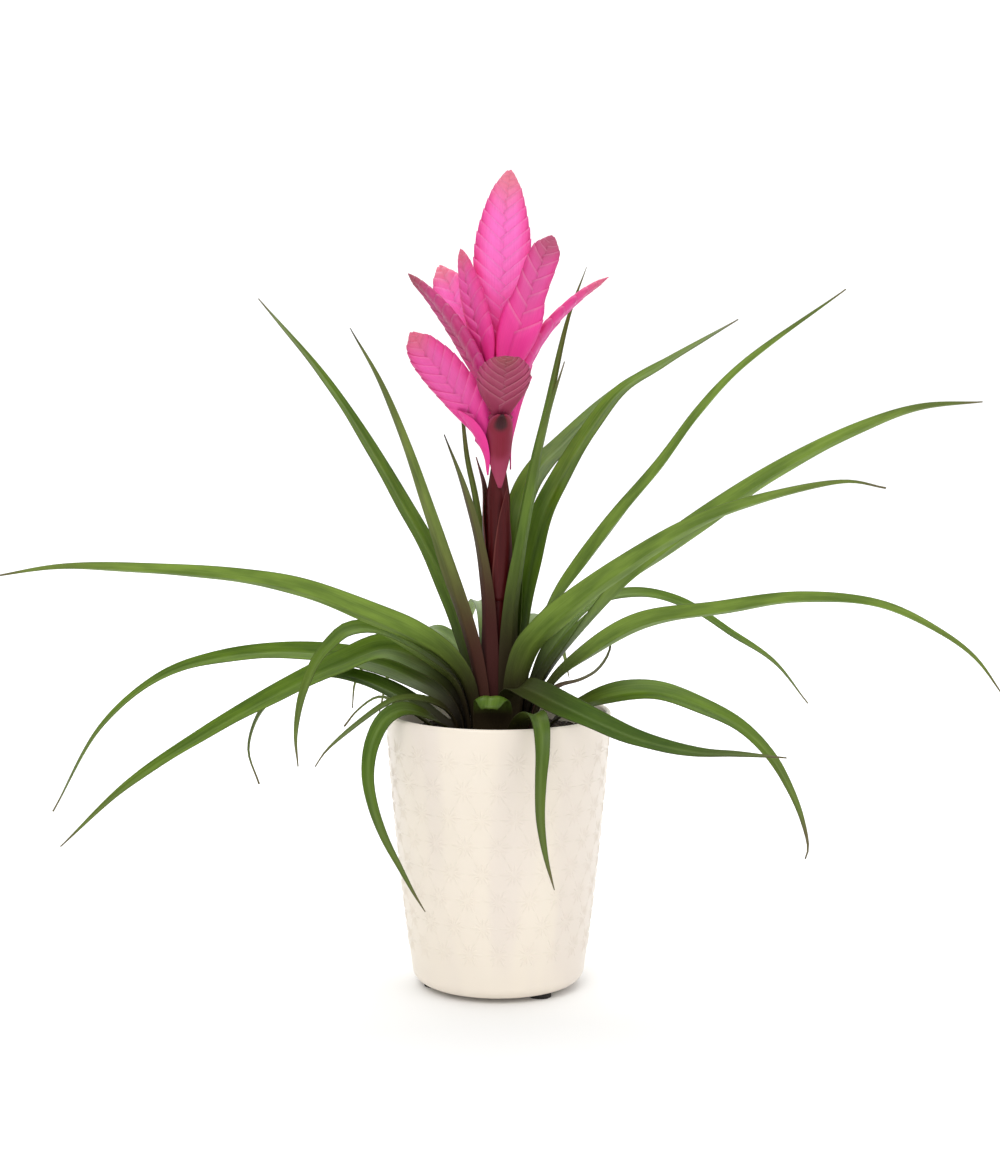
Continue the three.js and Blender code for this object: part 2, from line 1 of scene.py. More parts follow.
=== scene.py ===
"""Bromeliad in flower in a glazed ceramic cover pot, finished over its CAD frame.

The file is laid out as a Blender add-on and is run as a script. Finished pieces
are in metres in the frame's axes: the front faces -Y, +X is to its right and
+Z is up. Routes and sizes are in millimetres, measured from the underside of
the pot, and repeat those of the CAD source.
"""

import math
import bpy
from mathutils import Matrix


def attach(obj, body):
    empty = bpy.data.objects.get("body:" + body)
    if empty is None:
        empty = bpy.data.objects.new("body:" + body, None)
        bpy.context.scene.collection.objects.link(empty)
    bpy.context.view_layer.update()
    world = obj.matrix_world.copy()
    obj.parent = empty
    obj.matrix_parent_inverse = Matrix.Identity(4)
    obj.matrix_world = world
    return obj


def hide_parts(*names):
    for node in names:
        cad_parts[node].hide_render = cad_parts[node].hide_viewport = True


bl_info = {
    "name": "Potted bromeliad",
    "version": (1, 0, 0),
    "blender": (4, 5, 0),
    "location": "View3D > Sidebar > Bromeliad",
    "description": "Builds a bromeliad in flower in a ceramic cover pot",
    "category": "Object",
}

from functools import partialmethod

import bmesh
import bpy
from mathutils import Quaternion, Vector, noise

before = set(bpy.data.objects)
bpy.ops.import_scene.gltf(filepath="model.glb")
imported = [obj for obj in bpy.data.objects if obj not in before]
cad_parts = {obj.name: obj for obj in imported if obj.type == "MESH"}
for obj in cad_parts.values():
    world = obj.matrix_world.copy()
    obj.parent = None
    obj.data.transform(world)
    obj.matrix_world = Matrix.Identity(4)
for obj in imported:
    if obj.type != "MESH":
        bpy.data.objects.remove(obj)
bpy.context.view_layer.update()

# ------------------------------------------------------------------ sizes ----

MM = 0.001
POTTED_LIFT = 3.0  # the foot pads and their clearance, under the pot
CLEARANCE = 0.3

POT = dict(rim=161.5, rim_radius=66.2, base_radius=51, bulge=1.3, edge_round=8, wall=4,
           lip=1.6, lip_depth=10, floor=7, corner=4, waist=90, sides=144)
FLAT_UNDERSIDE = 20
SIDE_STEPS = 48

# The rays of a starburst: where they start and how much shorter every other one is, as
# shares of the star, the power that they narrow by, the radius that turns widths into
# angles round the pot, the one that their points drop onto the pot from, and how deep
# their foot lies under the glaze.
STAR = dict(hub=0.14, shorter=0.3, taper=0.6, wrap_radius=60, drop_radius=80, sunk=0.06)

SOIL = dict(top=149, edge=146, well_edge=148, well_radius=35, well_floor=136, gap=0.5,
            sides=120, clods=0.18, rough=0.9, settled=0.3)
CRUMBS = dict(per_square_metre=260000.0, smallest=0.5, largest=1.4, seed=4)
PLANT_FOOT = SOIL["well_floor"] + CLEARANCE

SCAPE = dict(foot_radius=7, neck_radius=3.8, top_radius=3.2, shoulder=288, neck=308, top=356,
             sides=32)
SPIKE_FOOT = SCAPE["top"] + CLEARANCE

SCAPE_BRACTS = dict(count=7, first=142, rise=17, first_azimuth=-97.5, turn=-137.5, length=66,
                    width=15, lift=0.3, stagger=0.11, lean=1.8, flare=1.5, bulge=0.5)
SCAPE_BRACT_OUTLINE = [(0, 0.8), (0.25, 1), (0.5, 0.8), (0.75, 0.45), (0.9, 0.2), (1, 0.03)]
BRACT_STEPS = 24
BRACT_RIB = 0.9

# Width of a leaf from its foot to its tip, as a share of its full width.
LEAF_OUTLINE = [(0, 0.8), (0.1, 0.98), (0.27, 1), (0.46, 0.76), (0.63, 0.55), (0.79, 0.38),
                (0.9, 0.2), (1, 0.03)]
LEAF_RIB = 1.2  # thickness along the middle
LEAF_EDGE = 0.45
LEAF_CHANNEL = 0.8  # radius of the gutter, in leaf widths
CHANNEL_FROM = 0.05
CHANNEL_TO = 0.3
TIGHTEST_CHANNEL = 1.2
BLUNTNESS = 0.85
LEAF_LANES = [1, 0.96, 0.82, 0.62, 0.42, 0.24, 0.1, 0.04, 0,
              -0.04, -0.1, -0.24, -0.42, -0.62, -0.82, -0.96, -1]
LEAF_STEP = 4.5  # from section to section
FEWEST_STEPS = 24
KEEL_DEPTH = 0.065  # how deep the fold down the middle of a leaf is, in leaf widths
KEEL_WIDTH = 0.55  # how far out the fold reaches, in half widths
KEEL_FLARE = 1.4
WAVE_DEPTH = 0.55  # how far the margins of a leaf ripple
SHORT_WAVE = 11
LONG_WAVE = 29

# Widths of the kinds of flower spike.
SPIKE_OUTLINES = {
    "full": [(0, 0.28), (0.12, 0.6), (0.28, 0.9), (0.45, 1), (0.6, 0.97), (0.76, 0.78),
             (0.89, 0.48), (0.95, 0.3), (0.98, 0.18), (1, 0.04)],
    "lance": [(0, 0.28), (0.12, 0.6), (0.26, 0.94), (0.38, 1), (0.52, 0.97), (0.68, 0.79),
              (0.84, 0.51), (0.93, 0.32), (0.975, 0.18), (1, 0.04)],
    "basal": [(0, 0.2), (0.12, 0.7), (0.28, 1), (0.4, 0.95), (0.52, 0.75), (0.78, 0.71),
              (0.9, 0.5), (0.96, 0.3), (0.985, 0.18), (1, 0.04)],
}
THIN_END = 0.3
FINE_BRACTS = 1.25  # bracts shown for each one of the solid

# The bracts of a spike: how many lie over each other, how steeply they rise from the
# keel, how much further apart the lower ones stand, how much narrower and thinner each
# is at its foot, its point in mm, how far its margins reach in from the keel, how
# unevenly it swells, and how the last ones close the tip.
BRACTS = dict(overlap=6.0, rise=0.85, spread=0.2, wide_spread=0.6, tooth=0.035, step=0.11,
              tip=0.2, wrap=1.12, uneven=0.05, closing=14.0, tip_depth=0.15, settling=7.0)
BRACT_LENS = [(0, 0.8), (0.25, 0.93), (0.5, 1), (0.75, 0.82), (0.9, 0.5), (1, 0)]
CHAIN_LINKS = 60
CORE = dict(steps=20, length=0.97, foot_width=0.95, width=0.5, depth=0.45)
CORE_SECTION = [(1, 0), (0.5, 0.8), (0, 1), (-0.5, 0.8), (-1, 0), (-0.5, -0.8), (0, -1),
                (0.5, -0.8)]
HOLDER_FOLD = 0.44
HOLDER_OUTLINE = [(0, 0.1), (0.3, 0.62), (0.5, 1), (0.75, 0.95), (0.9, 0.7), (1, 0.25)]
# Where along its length the back of the faded one turns maroon, its own colour, and near
# black at its mouth, which is painted shadow.
DARK_BACK = (0.25, 0.45)
MOUTH_SHADOW = (0.66, 0.82)

# ------------------------------------------------------------------ looks ----

GREEN, OLIVE, BROWN = "leaf_green", "leaf_olive", "leaf_brown"

# The dark of the sheaths, their own brown and painted shade in the heart of the crown:
# all of it up to the first distance from the heart of the crown, none from the second
# on. On the stub at the front it is painted shadow under its dome, by height.
CROWN = Vector((0, 0, 143))
SHEATH_AND_SHADE_REACH = {GREEN: (30, 95), OLIVE: (55, 150), BROWN: (70, 170)}
STUB_SHADOW_REACH = (166, 176)

# Spikes that have lost some of their pink in the sun.
# line is the colour of the painted highlight along each bract margin, and margin is how strongly it
# is painted.
BRACT_LOOKS = {
    "magenta": dict(body="#EE58A8", edge="#E63C8C", tip="#DE6482", foot="#F03496",
                    line="#FF9CC8", margin=0.16),
    "rose": dict(body="#E0529A", edge="#E23B8B", tip="#B4506F", foot="#F83C9C",
                 line="#F7A0C0", margin=0.24, fresh=0.68),
    "dusk": dict(body="#C24A80", edge="#C83C7C", tip="#A04858", foot="#CC3A88",
                 line="#E0A0B4", margin=0.2),
    "mauve": dict(body="#A4425F", edge="#B03E68", tip="#94464C", foot="#96304F",
                  line="#C98892", margin=0.32),
}

# ----------------------------------------------------------------- routes ----

# Each leaf stands in the upright plane that leaves the axis at its azimuth (0 is +X,
# 90 is the back). Its route is a list of [out, up] or [out, up, aside] points from the
# soil to the tip. It turns by its roll over the shares of its length in rolled. shade
# darkens it, as its own darker tone and on the stub at the front as painted shadow.
# sheath is the reach of its own dark foot, its brown sheath and painted shade in the
# heart of the crown, and dried_short is how much shorter than on the other leaves its
# dried point is.
LEAVES = [
    # innermost, round the flower stem
    dict(name="leaf_inner_right", azimuth=25, roll=60, width=10, rolled=[0.32, 0.6], shade=0.25,
         sheath=(50, 140),
         route=[[9.6, PLANT_FOOT], [9.8, 190], [12, 235], [15.5, 262], [23, 303], [34, 347],
                [45, 390], [57, 420]]),
    dict(name="leaf_inner_left", azimuth=235, width=14, look=BROWN,
         route=[[10.4, PLANT_FOOT], [10.6, 205], [11, 232, -1], [13, 262, -5], [18, 293, -11.5],
                [25, 324, -20.5]]),
    dict(name="leaf_inner_back_left", azimuth=125, width=9, look=OLIVE,
         route=[[9.8, PLANT_FOOT], [10, 190], [15, 245], [24, 285], [33, 310], [38, 340],
                [40, 366]]),
    dict(name="leaf_inner_front_right", azimuth=-55, width=14, shade=0.4, sheath=(50, 145),
         route=[[11.4, PLANT_FOOT], [11.6, 190], [12.2, 213, 0.7], [13, 234, 2.5],
                [15, 262, 6.8], [19, 300, 12.3], [23, 331, 17.5], [30, 366, 25.4]]),
    # rising high
    dict(name="leaf_high_left_front", azimuth=225, roll=28, width=12.5, look=OLIVE,
         rolled=[0.2, 0.45],
         route=[[13.2, PLANT_FOOT], [13.6, 165], [14.8, 185, -2.5], [16.8, 202, -5.6],
                [22.5, 240, -16.5], [29.5, 278, -27], [36, 310, -35.8], [47.5, 353, -48.5],
                [60, 385, -61]]),
    dict(name="leaf_high_left", azimuth=138, roll=-15, width=16.5, shade=0.2,
         route=[[13.9, PLANT_FOOT], [15, 160], [20, 180], [27, 200], [47, 238], [80, 281],
                [114, 321], [149, 356], [204, 401]]),
    dict(name="leaf_high_back", azimuth=58, roll=20, width=21, rolled=[0.3, 0.5],
         route=[[11.5, PLANT_FOOT], [12, 200], [15.5, 240], [20, 266], [30, 287], [48, 302],
                [70, 312], [119, 334], [170, 352], [226, 367]]),
    dict(name="leaf_high_back_right", azimuth=42, roll=20, width=19.5, rolled=[0.15, 0.4],
         route=[[13.2, PLANT_FOOT], [13.6, 165], [16.5, 200], [24, 241], [34.5, 272], [50, 295],
                [74, 323], [99, 345], [134, 360], [204, 388]]),
    dict(name="leaf_high_right", azimuth=28, roll=-58, width=18, rolled=[0.12, 0.35],
         route=[[15, PLANT_FOOT], [15.4, 160], [19, 185], [30, 213], [56, 244], [83, 274],
                [111, 302], [138, 333], [167, 359], [245, 407]]),
    dict(name="leaf_right_front", azimuth=-42, roll=-35, width=20,
         route=[[13, PLANT_FOOT], [13.5, 158], [17, 183], [24, 200], [36, 212], [48, 222],
                [91, 251], [147, 282], [200, 300], [243, 309], [265, 307]]),
    dict(name="leaf_right_longest", azimuth=10, roll=-66, width=23, rolled=[0.15, 0.5],
         route=[[16.8, PLANT_FOOT], [17.4, 155], [21.4, 168], [28.5, 181], [40, 197], [73, 233],
                [121, 269.5], [170, 301], [219, 325], [256, 337], [295, 340]]),
    # arching out
    dict(name="leaf_left_long", azimuth=194, roll=46, width=22,
         route=[[15.2, PLANT_FOOT], [15.6, 156], [21.5, 180], [33, 195], [52, 208], [73, 218],
                [116, 236], [151, 244], [202, 250], [252, 253], [289, 249]]),
    dict(name="leaf_left_folded", azimuth=181, roll=-50, width=17, rolled=[0.35, 0.6],
         route=[[17.8, PLANT_FOOT], [18.6, 156], [26, 178], [38, 188.5], [55, 200], [73, 209.5],
                [88, 209], [98, 201], [106, 191], [112, 178], [116, 166], [119, 146], [118, 128]]),
    dict(name="leaf_left_low", azimuth=168, roll=-50, width=20, rolled=[0.04, 0.22],
         route=[[20.2, PLANT_FOOT], [21.6, 158], [30, 177], [45, 189], [68, 196], [95, 186],
                [132, 168], [181, 140], [232, 106], [276, 66]]),
    dict(name="leaf_left_arching", azimuth=157, roll=-42, width=17, rolled=[0.03, 0.2],
         route=[[22.6, PLANT_FOOT], [23.4, 150], [29, 161], [38, 168], [51, 175], [77, 184],
                [131, 188], [187, 181], [230, 166], [274, 131], [311, 74]]),
    dict(name="leaf_front", azimuth=-72, roll=40, width=17, shade=0.6,
         route=[[16.5, PLANT_FOOT], [17, 155], [20, 170, 0.5], [28, 179, 3], [42, 178, 9],
                [58, 174, 17], [94, 168, 29], [128, 164, 40], [177, 165, 54], [205, 169, 63],
                [239, 173, 75]]),
    dict(name="leaf_right_drooping", azimuth=-8, roll=-45, width=18,
         route=[[20.6, PLANT_FOOT], [21, 150], [24.8, 165], [34, 180], [48, 192], [83, 214],
                [129, 223], [175, 230.5], [221, 227.5], [255, 212.5], [275, 198], [291, 177]]),
    dict(name="leaf_back_right", azimuth=38, roll=60, width=14, rolled=[0.2, 0.7],
         route=[[18.7, PLANT_FOOT], [19.5, 155], [30, 176], [39, 193], [67, 216], [105, 222],
                [145, 213], [186, 191], [226, 168], [257, 138]]),
    dict(name="leaf_back", azimuth=97, width=15,
         route=[[15.9, PLANT_FOOT], [16.4, 158], [24, 182], [45, 203], [80, 213], [120, 210],
                [160, 195], [203, 164]]),
    dict(name="leaf_back_low_right", azimuth=76, roll=10, width=14,
         route=[[20.6, PLANT_FOOT], [21, 152], [31, 175], [50, 194], [85, 203], [130, 198],
                [165, 180], [195, 150]]),
    dict(name="leaf_back_low_left", azimuth=116, roll=-10, width=13,
         route=[[21.8, PLANT_FOOT], [22.4, 150], [33, 171], [55, 190], [90, 198], [130, 186],
                [160, 162], [178, 132]]),
    # lowest, over the rim
    dict(name="leaf_rim_back_left", azimuth=160, roll=-30, width=15, shade=0.4,
         route=[[26.5, PLANT_FOOT], [28, 147], [41, 155], [58, 164], [72, 170], [88, 175],
                [108, 177], [130, 170], [148, 158], [158, 145], [163, 126], [156, 106]]),
    dict(name="leaf_rim_back_left_thin", azimuth=136, width=8,
         route=[[28.4, PLANT_FOOT], [29, 147], [38, 162], [64, 178], [95, 184], [112, 178],
                [124, 164], [127, 147]]),
    dict(name="leaf_rim_left_short", azimuth=178, width=6,
         route=[[31, PLANT_FOOT], [32, 146], [41, 153], [56, 163], [70, 169], [83, 161],
                [91, 151]]),
    dict(name="leaf_rim_left", azimuth=202, roll=-25, width=8.5, shade=0.3,
         route=[[25.2, PLANT_FOOT], [25.8, 150], [31, 162], [42, 169], [55, 172], [66, 171],
                [86, 160], [107, 144], [113, 136]]),
    dict(name="leaf_rim_front_left", azimuth=215, roll=-40, width=12, shade=0.3,
         route=[[28, PLANT_FOOT], [29, 146], [37, 155], [52, 164], [67, 168], [79, 164, 0.5],
                [88, 151, 1], [92, 134, 3], [92, 117, 8], [90, 101, 16], [86, 84, 27],
                [83, 70, 37], [80, 61, 43]]),
    dict(name="leaf_rim_front", azimuth=-71, width=13, shade=0.35,
         route=[[28, PLANT_FOOT], [29, 148], [38, 159], [52, 166.5], [66, 169.5], [76, 165, -1],
                [83, 152, -3], [86, 137, -5], [89, 115, -6], [92, 95, -4], [96, 76]]),
    dict(name="leaf_rim_right", azimuth=-12, roll=40, width=17.5, dried_short=-9,
         route=[[27, PLANT_FOOT], [28, 148], [36, 158], [50, 166], [66, 172], [80, 175],
                [96, 175], [119, 168], [142, 157], [160, 140], [172, 120], [179, 103],
                [182.5, 87], [181, 81]]),
    dict(name="leaf_rim_back_right", azimuth=48, width=7, look=OLIVE,
         route=[[24, PLANT_FOOT], [25, 149], [36, 162], [56, 169], [76, 170.5], [92, 175],
                [102, 184], [104, 191], [103, 199]]),
    dict(name="leaf_front_short", azimuth=-97, width=25, shade=0.3, dried_short=100, domed=True,
         route=[[22, PLANT_FOOT], [22.4, 156], [25, 168], [30, 175], [37, 175.5], [43, 170]]),
]

# The flower head: each spike has its own stalk on the top of the flower stem.
# roll turns its flat side about its own run.
SPIKES = [
    dict(name="spike_top", azimuth=0, roll=90, width=34, thickness=7, bracts=12, outline="lance",
         route=[[1.6, SPIKE_FOOT], [2.2, 372], [2.4, 396], [2.6, 424], [4, 450], [6.6, 475]]),
    dict(name="spike_upper_right", azimuth=-50, roll=-50, width=25, thickness=6.5, bracts=7,
         outline="basal", look="rose",
         route=[[4.9, 350], [8.8, 364], [15, 381, 1], [23, 401, 3], [31, 420, 5], [39.5, 437, 7]]),
    dict(name="spike_upper_left", azimuth=202, roll=20, width=21, thickness=6.5, bracts=7,
         outline="lance", look="magenta",
         route=[[4.6, 355], [7.6, 372], [13, 392], [18, 411], [23, 430]]),
    dict(name="spike_upper_back", azimuth=45, width=20, thickness=6, bracts=7,
         route=[[4.6, 352], [9, 370], [15, 388], [22, 405], [28, 420]]),
    dict(name="spike_back_left", azimuth=142, roll=-45, width=24, thickness=5.5, bracts=7,
         route=[[4.8, 344], [10, 360], [20, 380], [32, 401], [44, 421]]),
    dict(name="spike_left", azimuth=188, roll=18, width=20, thickness=7, bracts=8,
         outline="lance", look="dusk",
         route=[[4.8, 338], [8, 352], [15, 368], [25, 385], [38, 402], [52, 416]]),
    dict(name="spike_right", azimuth=6, roll=-14, width=19, thickness=6.5, bracts=8,
         outline="lance", look="magenta",
         route=[[6.4, 316], [8, 332], [11.5, 350], [17.5, 367], [27, 383], [39, 396], [51, 406],
                [64, 414]],
         holder=dict(width=11, route=[[7.1, 303], [7.5, 317], [10.3, 330], [14.6, 345],
                                      [19.5, 357]])),
    dict(name="spike_back", azimuth=98, width=22, thickness=6.5, bracts=7,
         route=[[4.8, 334], [9, 348], [16, 365], [26, 384], [36, 400]]),
    dict(name="spike_low_back_right", azimuth=70, width=22, thickness=6.5, bracts=6,
         route=[[5, 324], [10, 336], [19, 350], [30, 363], [40, 374]],
         holder=dict(width=9, route=[[5.3, 312], [6.5, 320], [9.5, 329], [15.5, 338], [23, 346]])),
    dict(name="spike_low_back_left", azimuth=140, width=20, thickness=6.5, bracts=6,
         route=[[5, 319], [10, 331], [18, 344], [28, 355], [36, 363]],
         holder=dict(width=9, route=[[5.3, 307], [6.5, 315], [9.5, 324], [15.5, 333], [23, 340]])),
    dict(name="spike_low_front", azimuth=-84, width=31, thickness=7, bracts=6, stalk=0.28,
         outline="lance", look="mauve",
         route=[[5.4, 311], [6.6, 319], [10, 330], [18, 342], [29, 356], [42, 370]],
         holder=dict(width=19, route=[[8.4, 293], [6.6, 303], [6.9, 311], [11, 322], [16, 331],
                                      [21, 336]])),
    dict(name="spike_low_left", azimuth=208, roll=45, width=27, thickness=6.5, bracts=9,
         look="magenta",
         route=[[5.4, 314], [10, 325], [20, 341], [33, 357], [45, 370], [56, 383]],
         holder=dict(width=14, route=[[6.9, 300], [8.2, 310], [12.5, 319], [19, 329], [26, 338]])),
]

# ---------------------------------------------------------------- helpers ----


def lerp(a, b, t):
    return a + (b - a) * t


def smoothstep(x, low, high):
    u = min(max((x - low) / (high - low), 0.0), 1.0)
    return u * u * (3 - 2 * u)


def read_off(profile, t):
    """A value off a list of (position, value) pairs, straight between them."""
    for (t0, v0), (t1, v1) in zip(profile, profile[1:]):
        if t <= t1:
            return lerp(v0, v1, (t - t0) / (t1 - t0))
    return profile[-1][1]


def read_smooth(profile, t, reach=0.05):
    """The same, with its corners rounded over a short reach."""
    reach = min(reach, t, 1 - t)
    shares = (-1, -0.5, 0, 0.5, 1)
    return sum(read_off(profile, t + reach * k) for k in shares) / len(shares)


class Route:
    """A smooth curve through [out, up, aside] points, read by share of its length."""

    SAMPLES = 400

    def __init__(self, azimuth, points):
        angle = math.radians(azimuth)
        outward = Vector((math.cos(angle), math.sin(angle), 0))
        self.leftward = Vector((-math.sin(angle), math.cos(angle), 0))
        self.knots = []
        for out, up, *aside in points:
            height = Vector((0, 0, up + POTTED_LIFT))
            self.knots.append(outward * out + self.leftward * sum(aside) + height)
        places = [self.place_at(i / self.SAMPLES) for i in range(self.SAMPLES + 1)]
        self.reach = [0.0]
        for here, there in zip(places, places[1:]):
            self.reach.append(self.reach[-1] + (there - here).length)
        self.length = self.reach[-1]

    def place_at(self, param):
        """Centripetal Catmull-Rom, with its ends carried on in a straight line."""
        knots = self.knots
        position = param * (len(knots) - 1)
        i = min(int(position), len(knots) - 2)
        w = position - i
        p1, p2 = knots[i], knots[i + 1]
        p0 = knots[i - 1] if i > 0 else p1 * 2 - p2
        p3 = knots[i + 2] if i + 2 < len(knots) else p2 * 2 - p1
        d0, d1, d2 = (math.sqrt((b - a).length) for a, b in ((p0, p1), (p1, p2), (p2, p3)))
        m1 = ((p1 - p0) / d0 - (p2 - p0) / (d0 + d1) + (p2 - p1) / d1) * d1
        m2 = ((p2 - p1) / d1 - (p3 - p1) / (d1 + d2) + (p3 - p2) / d2) * d1
        bend = p1 * 2 - p2 * 2 + m1 + m2
        lean = p2 * 3 - p1 * 3 - m1 * 2 - m2
        return p1 + m1 * w + lean * w * w + bend * w * w * w

    def param(self, share):
        target = share * self.length
        low, high = 0, self.SAMPLES
        while high - low > 1:
            middle = (low + high) // 2
            if self.reach[middle] <= target:
                low = middle
            else:
                high = middle
        span = self.reach[high] - self.reach[low]
        return (low + (target - self.reach[low]) / span) / self.SAMPLES

    def section(self, share, roll=0.0):
        """Place, run, width direction and upper face direction at a share."""
        param = self.param(share)
        before, after = max(param - 1e-4, 0.0), min(param + 1e-4, 1.0)
        run = (self.place_at(after) - self.place_at(before)).normalized()
        across = (self.leftward - run * self.leftward.dot(run)).normalized()
        across.rotate(Quaternion(run, math.radians(roll)))
        return self.place_at(param), run, across, run.cross(across)


class Skin:
    """Points, faces and point values of a closed piece that is being built, in mm."""

    def __init__(self):
        self.points = []
        self.faces = []
        self.values = {}

    def add_point(self, place, **values):
        self.points.append(place)
        for key, value in values.items():
            self.values.setdefault(key, []).append(value)

    def loft(self, rings):
        """Closes a skin over rings that go across the top and back underneath.
        Each ring is a list of (place, values)."""
        first = len(self.points)
        corners = len(rings[0])
        for ring in rings:
            for place, values in ring:
                self.add_point(place, **values)
        for i in range(len(rings) - 1):
            for j in range(corners):
                a = first + i * corners + j
                b = first + i * corners + (j + 1) % corners
                self.faces.append((a, b, b + corners, a + corners))
        last = first + (len(rings) - 1) * corners
        for j in range(corners // 2 - 1):
            face = (j, j + 1, corners - 2 - j, corners - 1 - j)
            self.faces.append(tuple(first + k for k in reversed(face)))
            self.faces.append(tuple(last + k for k in face))

    def to_object(self, name, material):
        mesh = bpy.data.meshes.new(name)
        mesh.from_pydata([place * MM for place in self.points], [], self.faces)
        for key, values in self.values.items():
            vector = isinstance(values[0], (tuple, Vector))
            kind = "FLOAT_VECTOR" if vector else "FLOAT"
            layer = mesh.attributes.new(key, kind, "POINT")
            if vector:
                layer.data.foreach_set("vector", [x for value in values for x in value])
            else:
                layer.data.foreach_set("value", values)
        mesh.materials.append(material)
        mesh.shade_smooth()
        mesh.update()
        return link_object(name, mesh)


def link_object(name, data):
    obj = bpy.data.objects.new(name, data)
    bpy.context.scene.collection.objects.link(obj)
    return obj


def settle(piece, slot, *nodes):
    """Puts a finished piece on the frame."""
    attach(piece, "root")
    if nodes:
        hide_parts(*nodes)


def joined(name, objects):
    """Several mesh objects made into one, with their materials and values kept."""
    with bpy.context.temp_override(active_object=objects[0], object=objects[0],
                                   selected_editable_objects=objects, selected_objects=objects):
        bpy.ops.object.join()
    objects[0].name = name
    objects[0].data.name = name
    return objects[0]


# ------------------------------------------------------------------ nodes ----


class Worked:
    """What a node works out. Sums on it add the maths nodes that they need, and a name
    in square brackets picks another output of the same node."""

    def __init__(self, socket):
        self.socket = socket

    def __getitem__(self, name):
        return Worked(self.socket.node.outputs[name])

    def calc(self, operation, other=0.0):
        """A maths node on this value. A vector is scaled by what it is multiplied with."""
        tree = self.socket.id_data
        if self.socket.type != "VECTOR":
            return add(tree, "ShaderNodeMath", {0: self, 1: other}, operation=operation)
        if operation == "MULTIPLY":
            return add(tree, "ShaderNodeVectorMath", {0: self, "Scale": other}, operation="SCALE")
        return add(tree, "ShaderNodeVectorMath", {0: self, 1: other}, operation=operation)

    __add__ = partialmethod(calc, "ADD")
    __sub__ = partialmethod(calc, "SUBTRACT")
    __mul__ = partialmethod(calc, "MULTIPLY")
    __truediv__ = partialmethod(calc, "DIVIDE")
    __mod__ = partialmethod(calc, "MODULO")
    __pow__ = partialmethod(calc, "POWER")
    __abs__ = partialmethod(calc, "ABSOLUTE")

    def __rsub__(self, other):
        return add(self.socket.id_data, "ShaderNodeMath", {0: other, 1: self}, operation="SUBTRACT")

    def axes(self):
        """The numbers of a vector, to be picked by the letters X, Y and Z."""
        return add(self.socket.id_data, "ShaderNodeSeparateXYZ", {0: self})


def add(tree, kind, inputs=None, **settings):
    """Adds a node to a tree, with its settings, and links or fills its inputs. Gives the
    first output that the node has with these settings."""
    node = tree.nodes.new(kind)
    for key, value in settings.items():
        setattr(node, key, value)
    for key, value in (inputs or {}).items():
        if isinstance(value, Worked):
            tree.links.new(value.socket, node.inputs[key])
        else:
            node.inputs[key].default_value = value
    return next((Worked(socket) for socket in node.outputs if socket.enabled), None)


def geometry_tree(name, counts=(), sizes=()):
    """An empty geometry tree with these inputs, besides its geometry and its material.
    Gives the tree and its inputs by name."""
    tree = bpy.data.node_groups.new(name, "GeometryNodeTree")
    tree.interface.new_socket("Geometry", in_out="OUTPUT", socket_type="NodeSocketGeometry")
    kinds = {"Geometry": "Geometry"}
    kinds.update({label: "Int" for label in counts})
    kinds.update({label: "Float" for label in sizes})
    kinds["Material"] = "Material"
    for label, kind in kinds.items():
        tree.interface.new_socket(label, in_out="INPUT", socket_type=f"NodeSocket{kind}")
    source = add(tree, "NodeGroupInput")
    return tree, {label: source[label] for label in kinds}


def end_tree(tree, geometry, material):
    """Ends a geometry tree with plain geometry in its material."""
    real = add(tree, "GeometryNodeRealizeInstances", {"Geometry": geometry})
    dressed = add(tree, "GeometryNodeSetMaterial", {"Geometry": real, "Material": material})
    add(tree, "NodeGroupOutput", {0: dressed})
    return tree


def noted(geometry, domain, **values):
    """Keeps values on the points or the instances of a geometry, under their names."""
    for label, value in values.items():
        kind = "FLOAT_VECTOR" if value.socket.type == "VECTOR" else "FLOAT"
        geometry = add(geometry.socket.id_data, "GeometryNodeStoreNamedAttribute",
                       {"Geometry": geometry, "Name": label, "Value": value},
                       domain=domain, data_type=kind)
    return geometry


def repeated(tree, shape, count):
    """A shape as often as count says, all in one place, with the number of each."""
    points = add(tree, "GeometryNodePoints", {"Count": count})
    copies = add(tree, "GeometryNodeInstanceOnPoints", {"Points": points, "Instance": shape})
    return copies, add(tree, "GeometryNodeInputIndex")


def together(tree, *geometries):
    """Several geometries as one."""
    both = add(tree, "GeometryNodeJoinGeometry")
    for geometry in geometries:
        tree.links.new(geometry.socket, both.socket.node.inputs[0])
    return both


def recalled(tree, label, kind="FLOAT"):
    """A value that was kept on a geometry."""
    return add(tree, "GeometryNodeInputNamedAttribute", {"Name": label}, data_type=kind)


def grown(obj, tree, values):
    """Runs a geometry tree on an object and keeps its result as a plain mesh."""
    modifier = obj.modifiers.new(tree.name, "NODES")
    modifier.node_group = tree
    for item in tree.interface.items_tree:
        if item.in_out == "INPUT" and item.name in values:
            modifier[item.identifier] = values[item.name]
    return made_plain(obj)


def made_plain(obj):
    """Keeps an object's modified shape as its plain mesh."""
    depsgraph = bpy.context.evaluated_depsgraph_get()
    mesh = bpy.data.meshes.new_from_object(obj.evaluated_get(depsgraph), depsgraph=depsgraph)
    obj.modifiers.clear()
    old = obj.data
    obj.data = mesh
    mesh.name = obj.name
    bpy.data.meshes.remove(old)
    return obj


def faces_outward(obj):
    """Turns every face of a closed piece to the outside."""
    work = bmesh.new()
    work.from_mesh(obj.data)
    bmesh.ops.recalc_face_normals(work, faces=work.faces)
    work.to_mesh(obj.data)
    work.free()


# -------------------------------------------------------------- materials ----


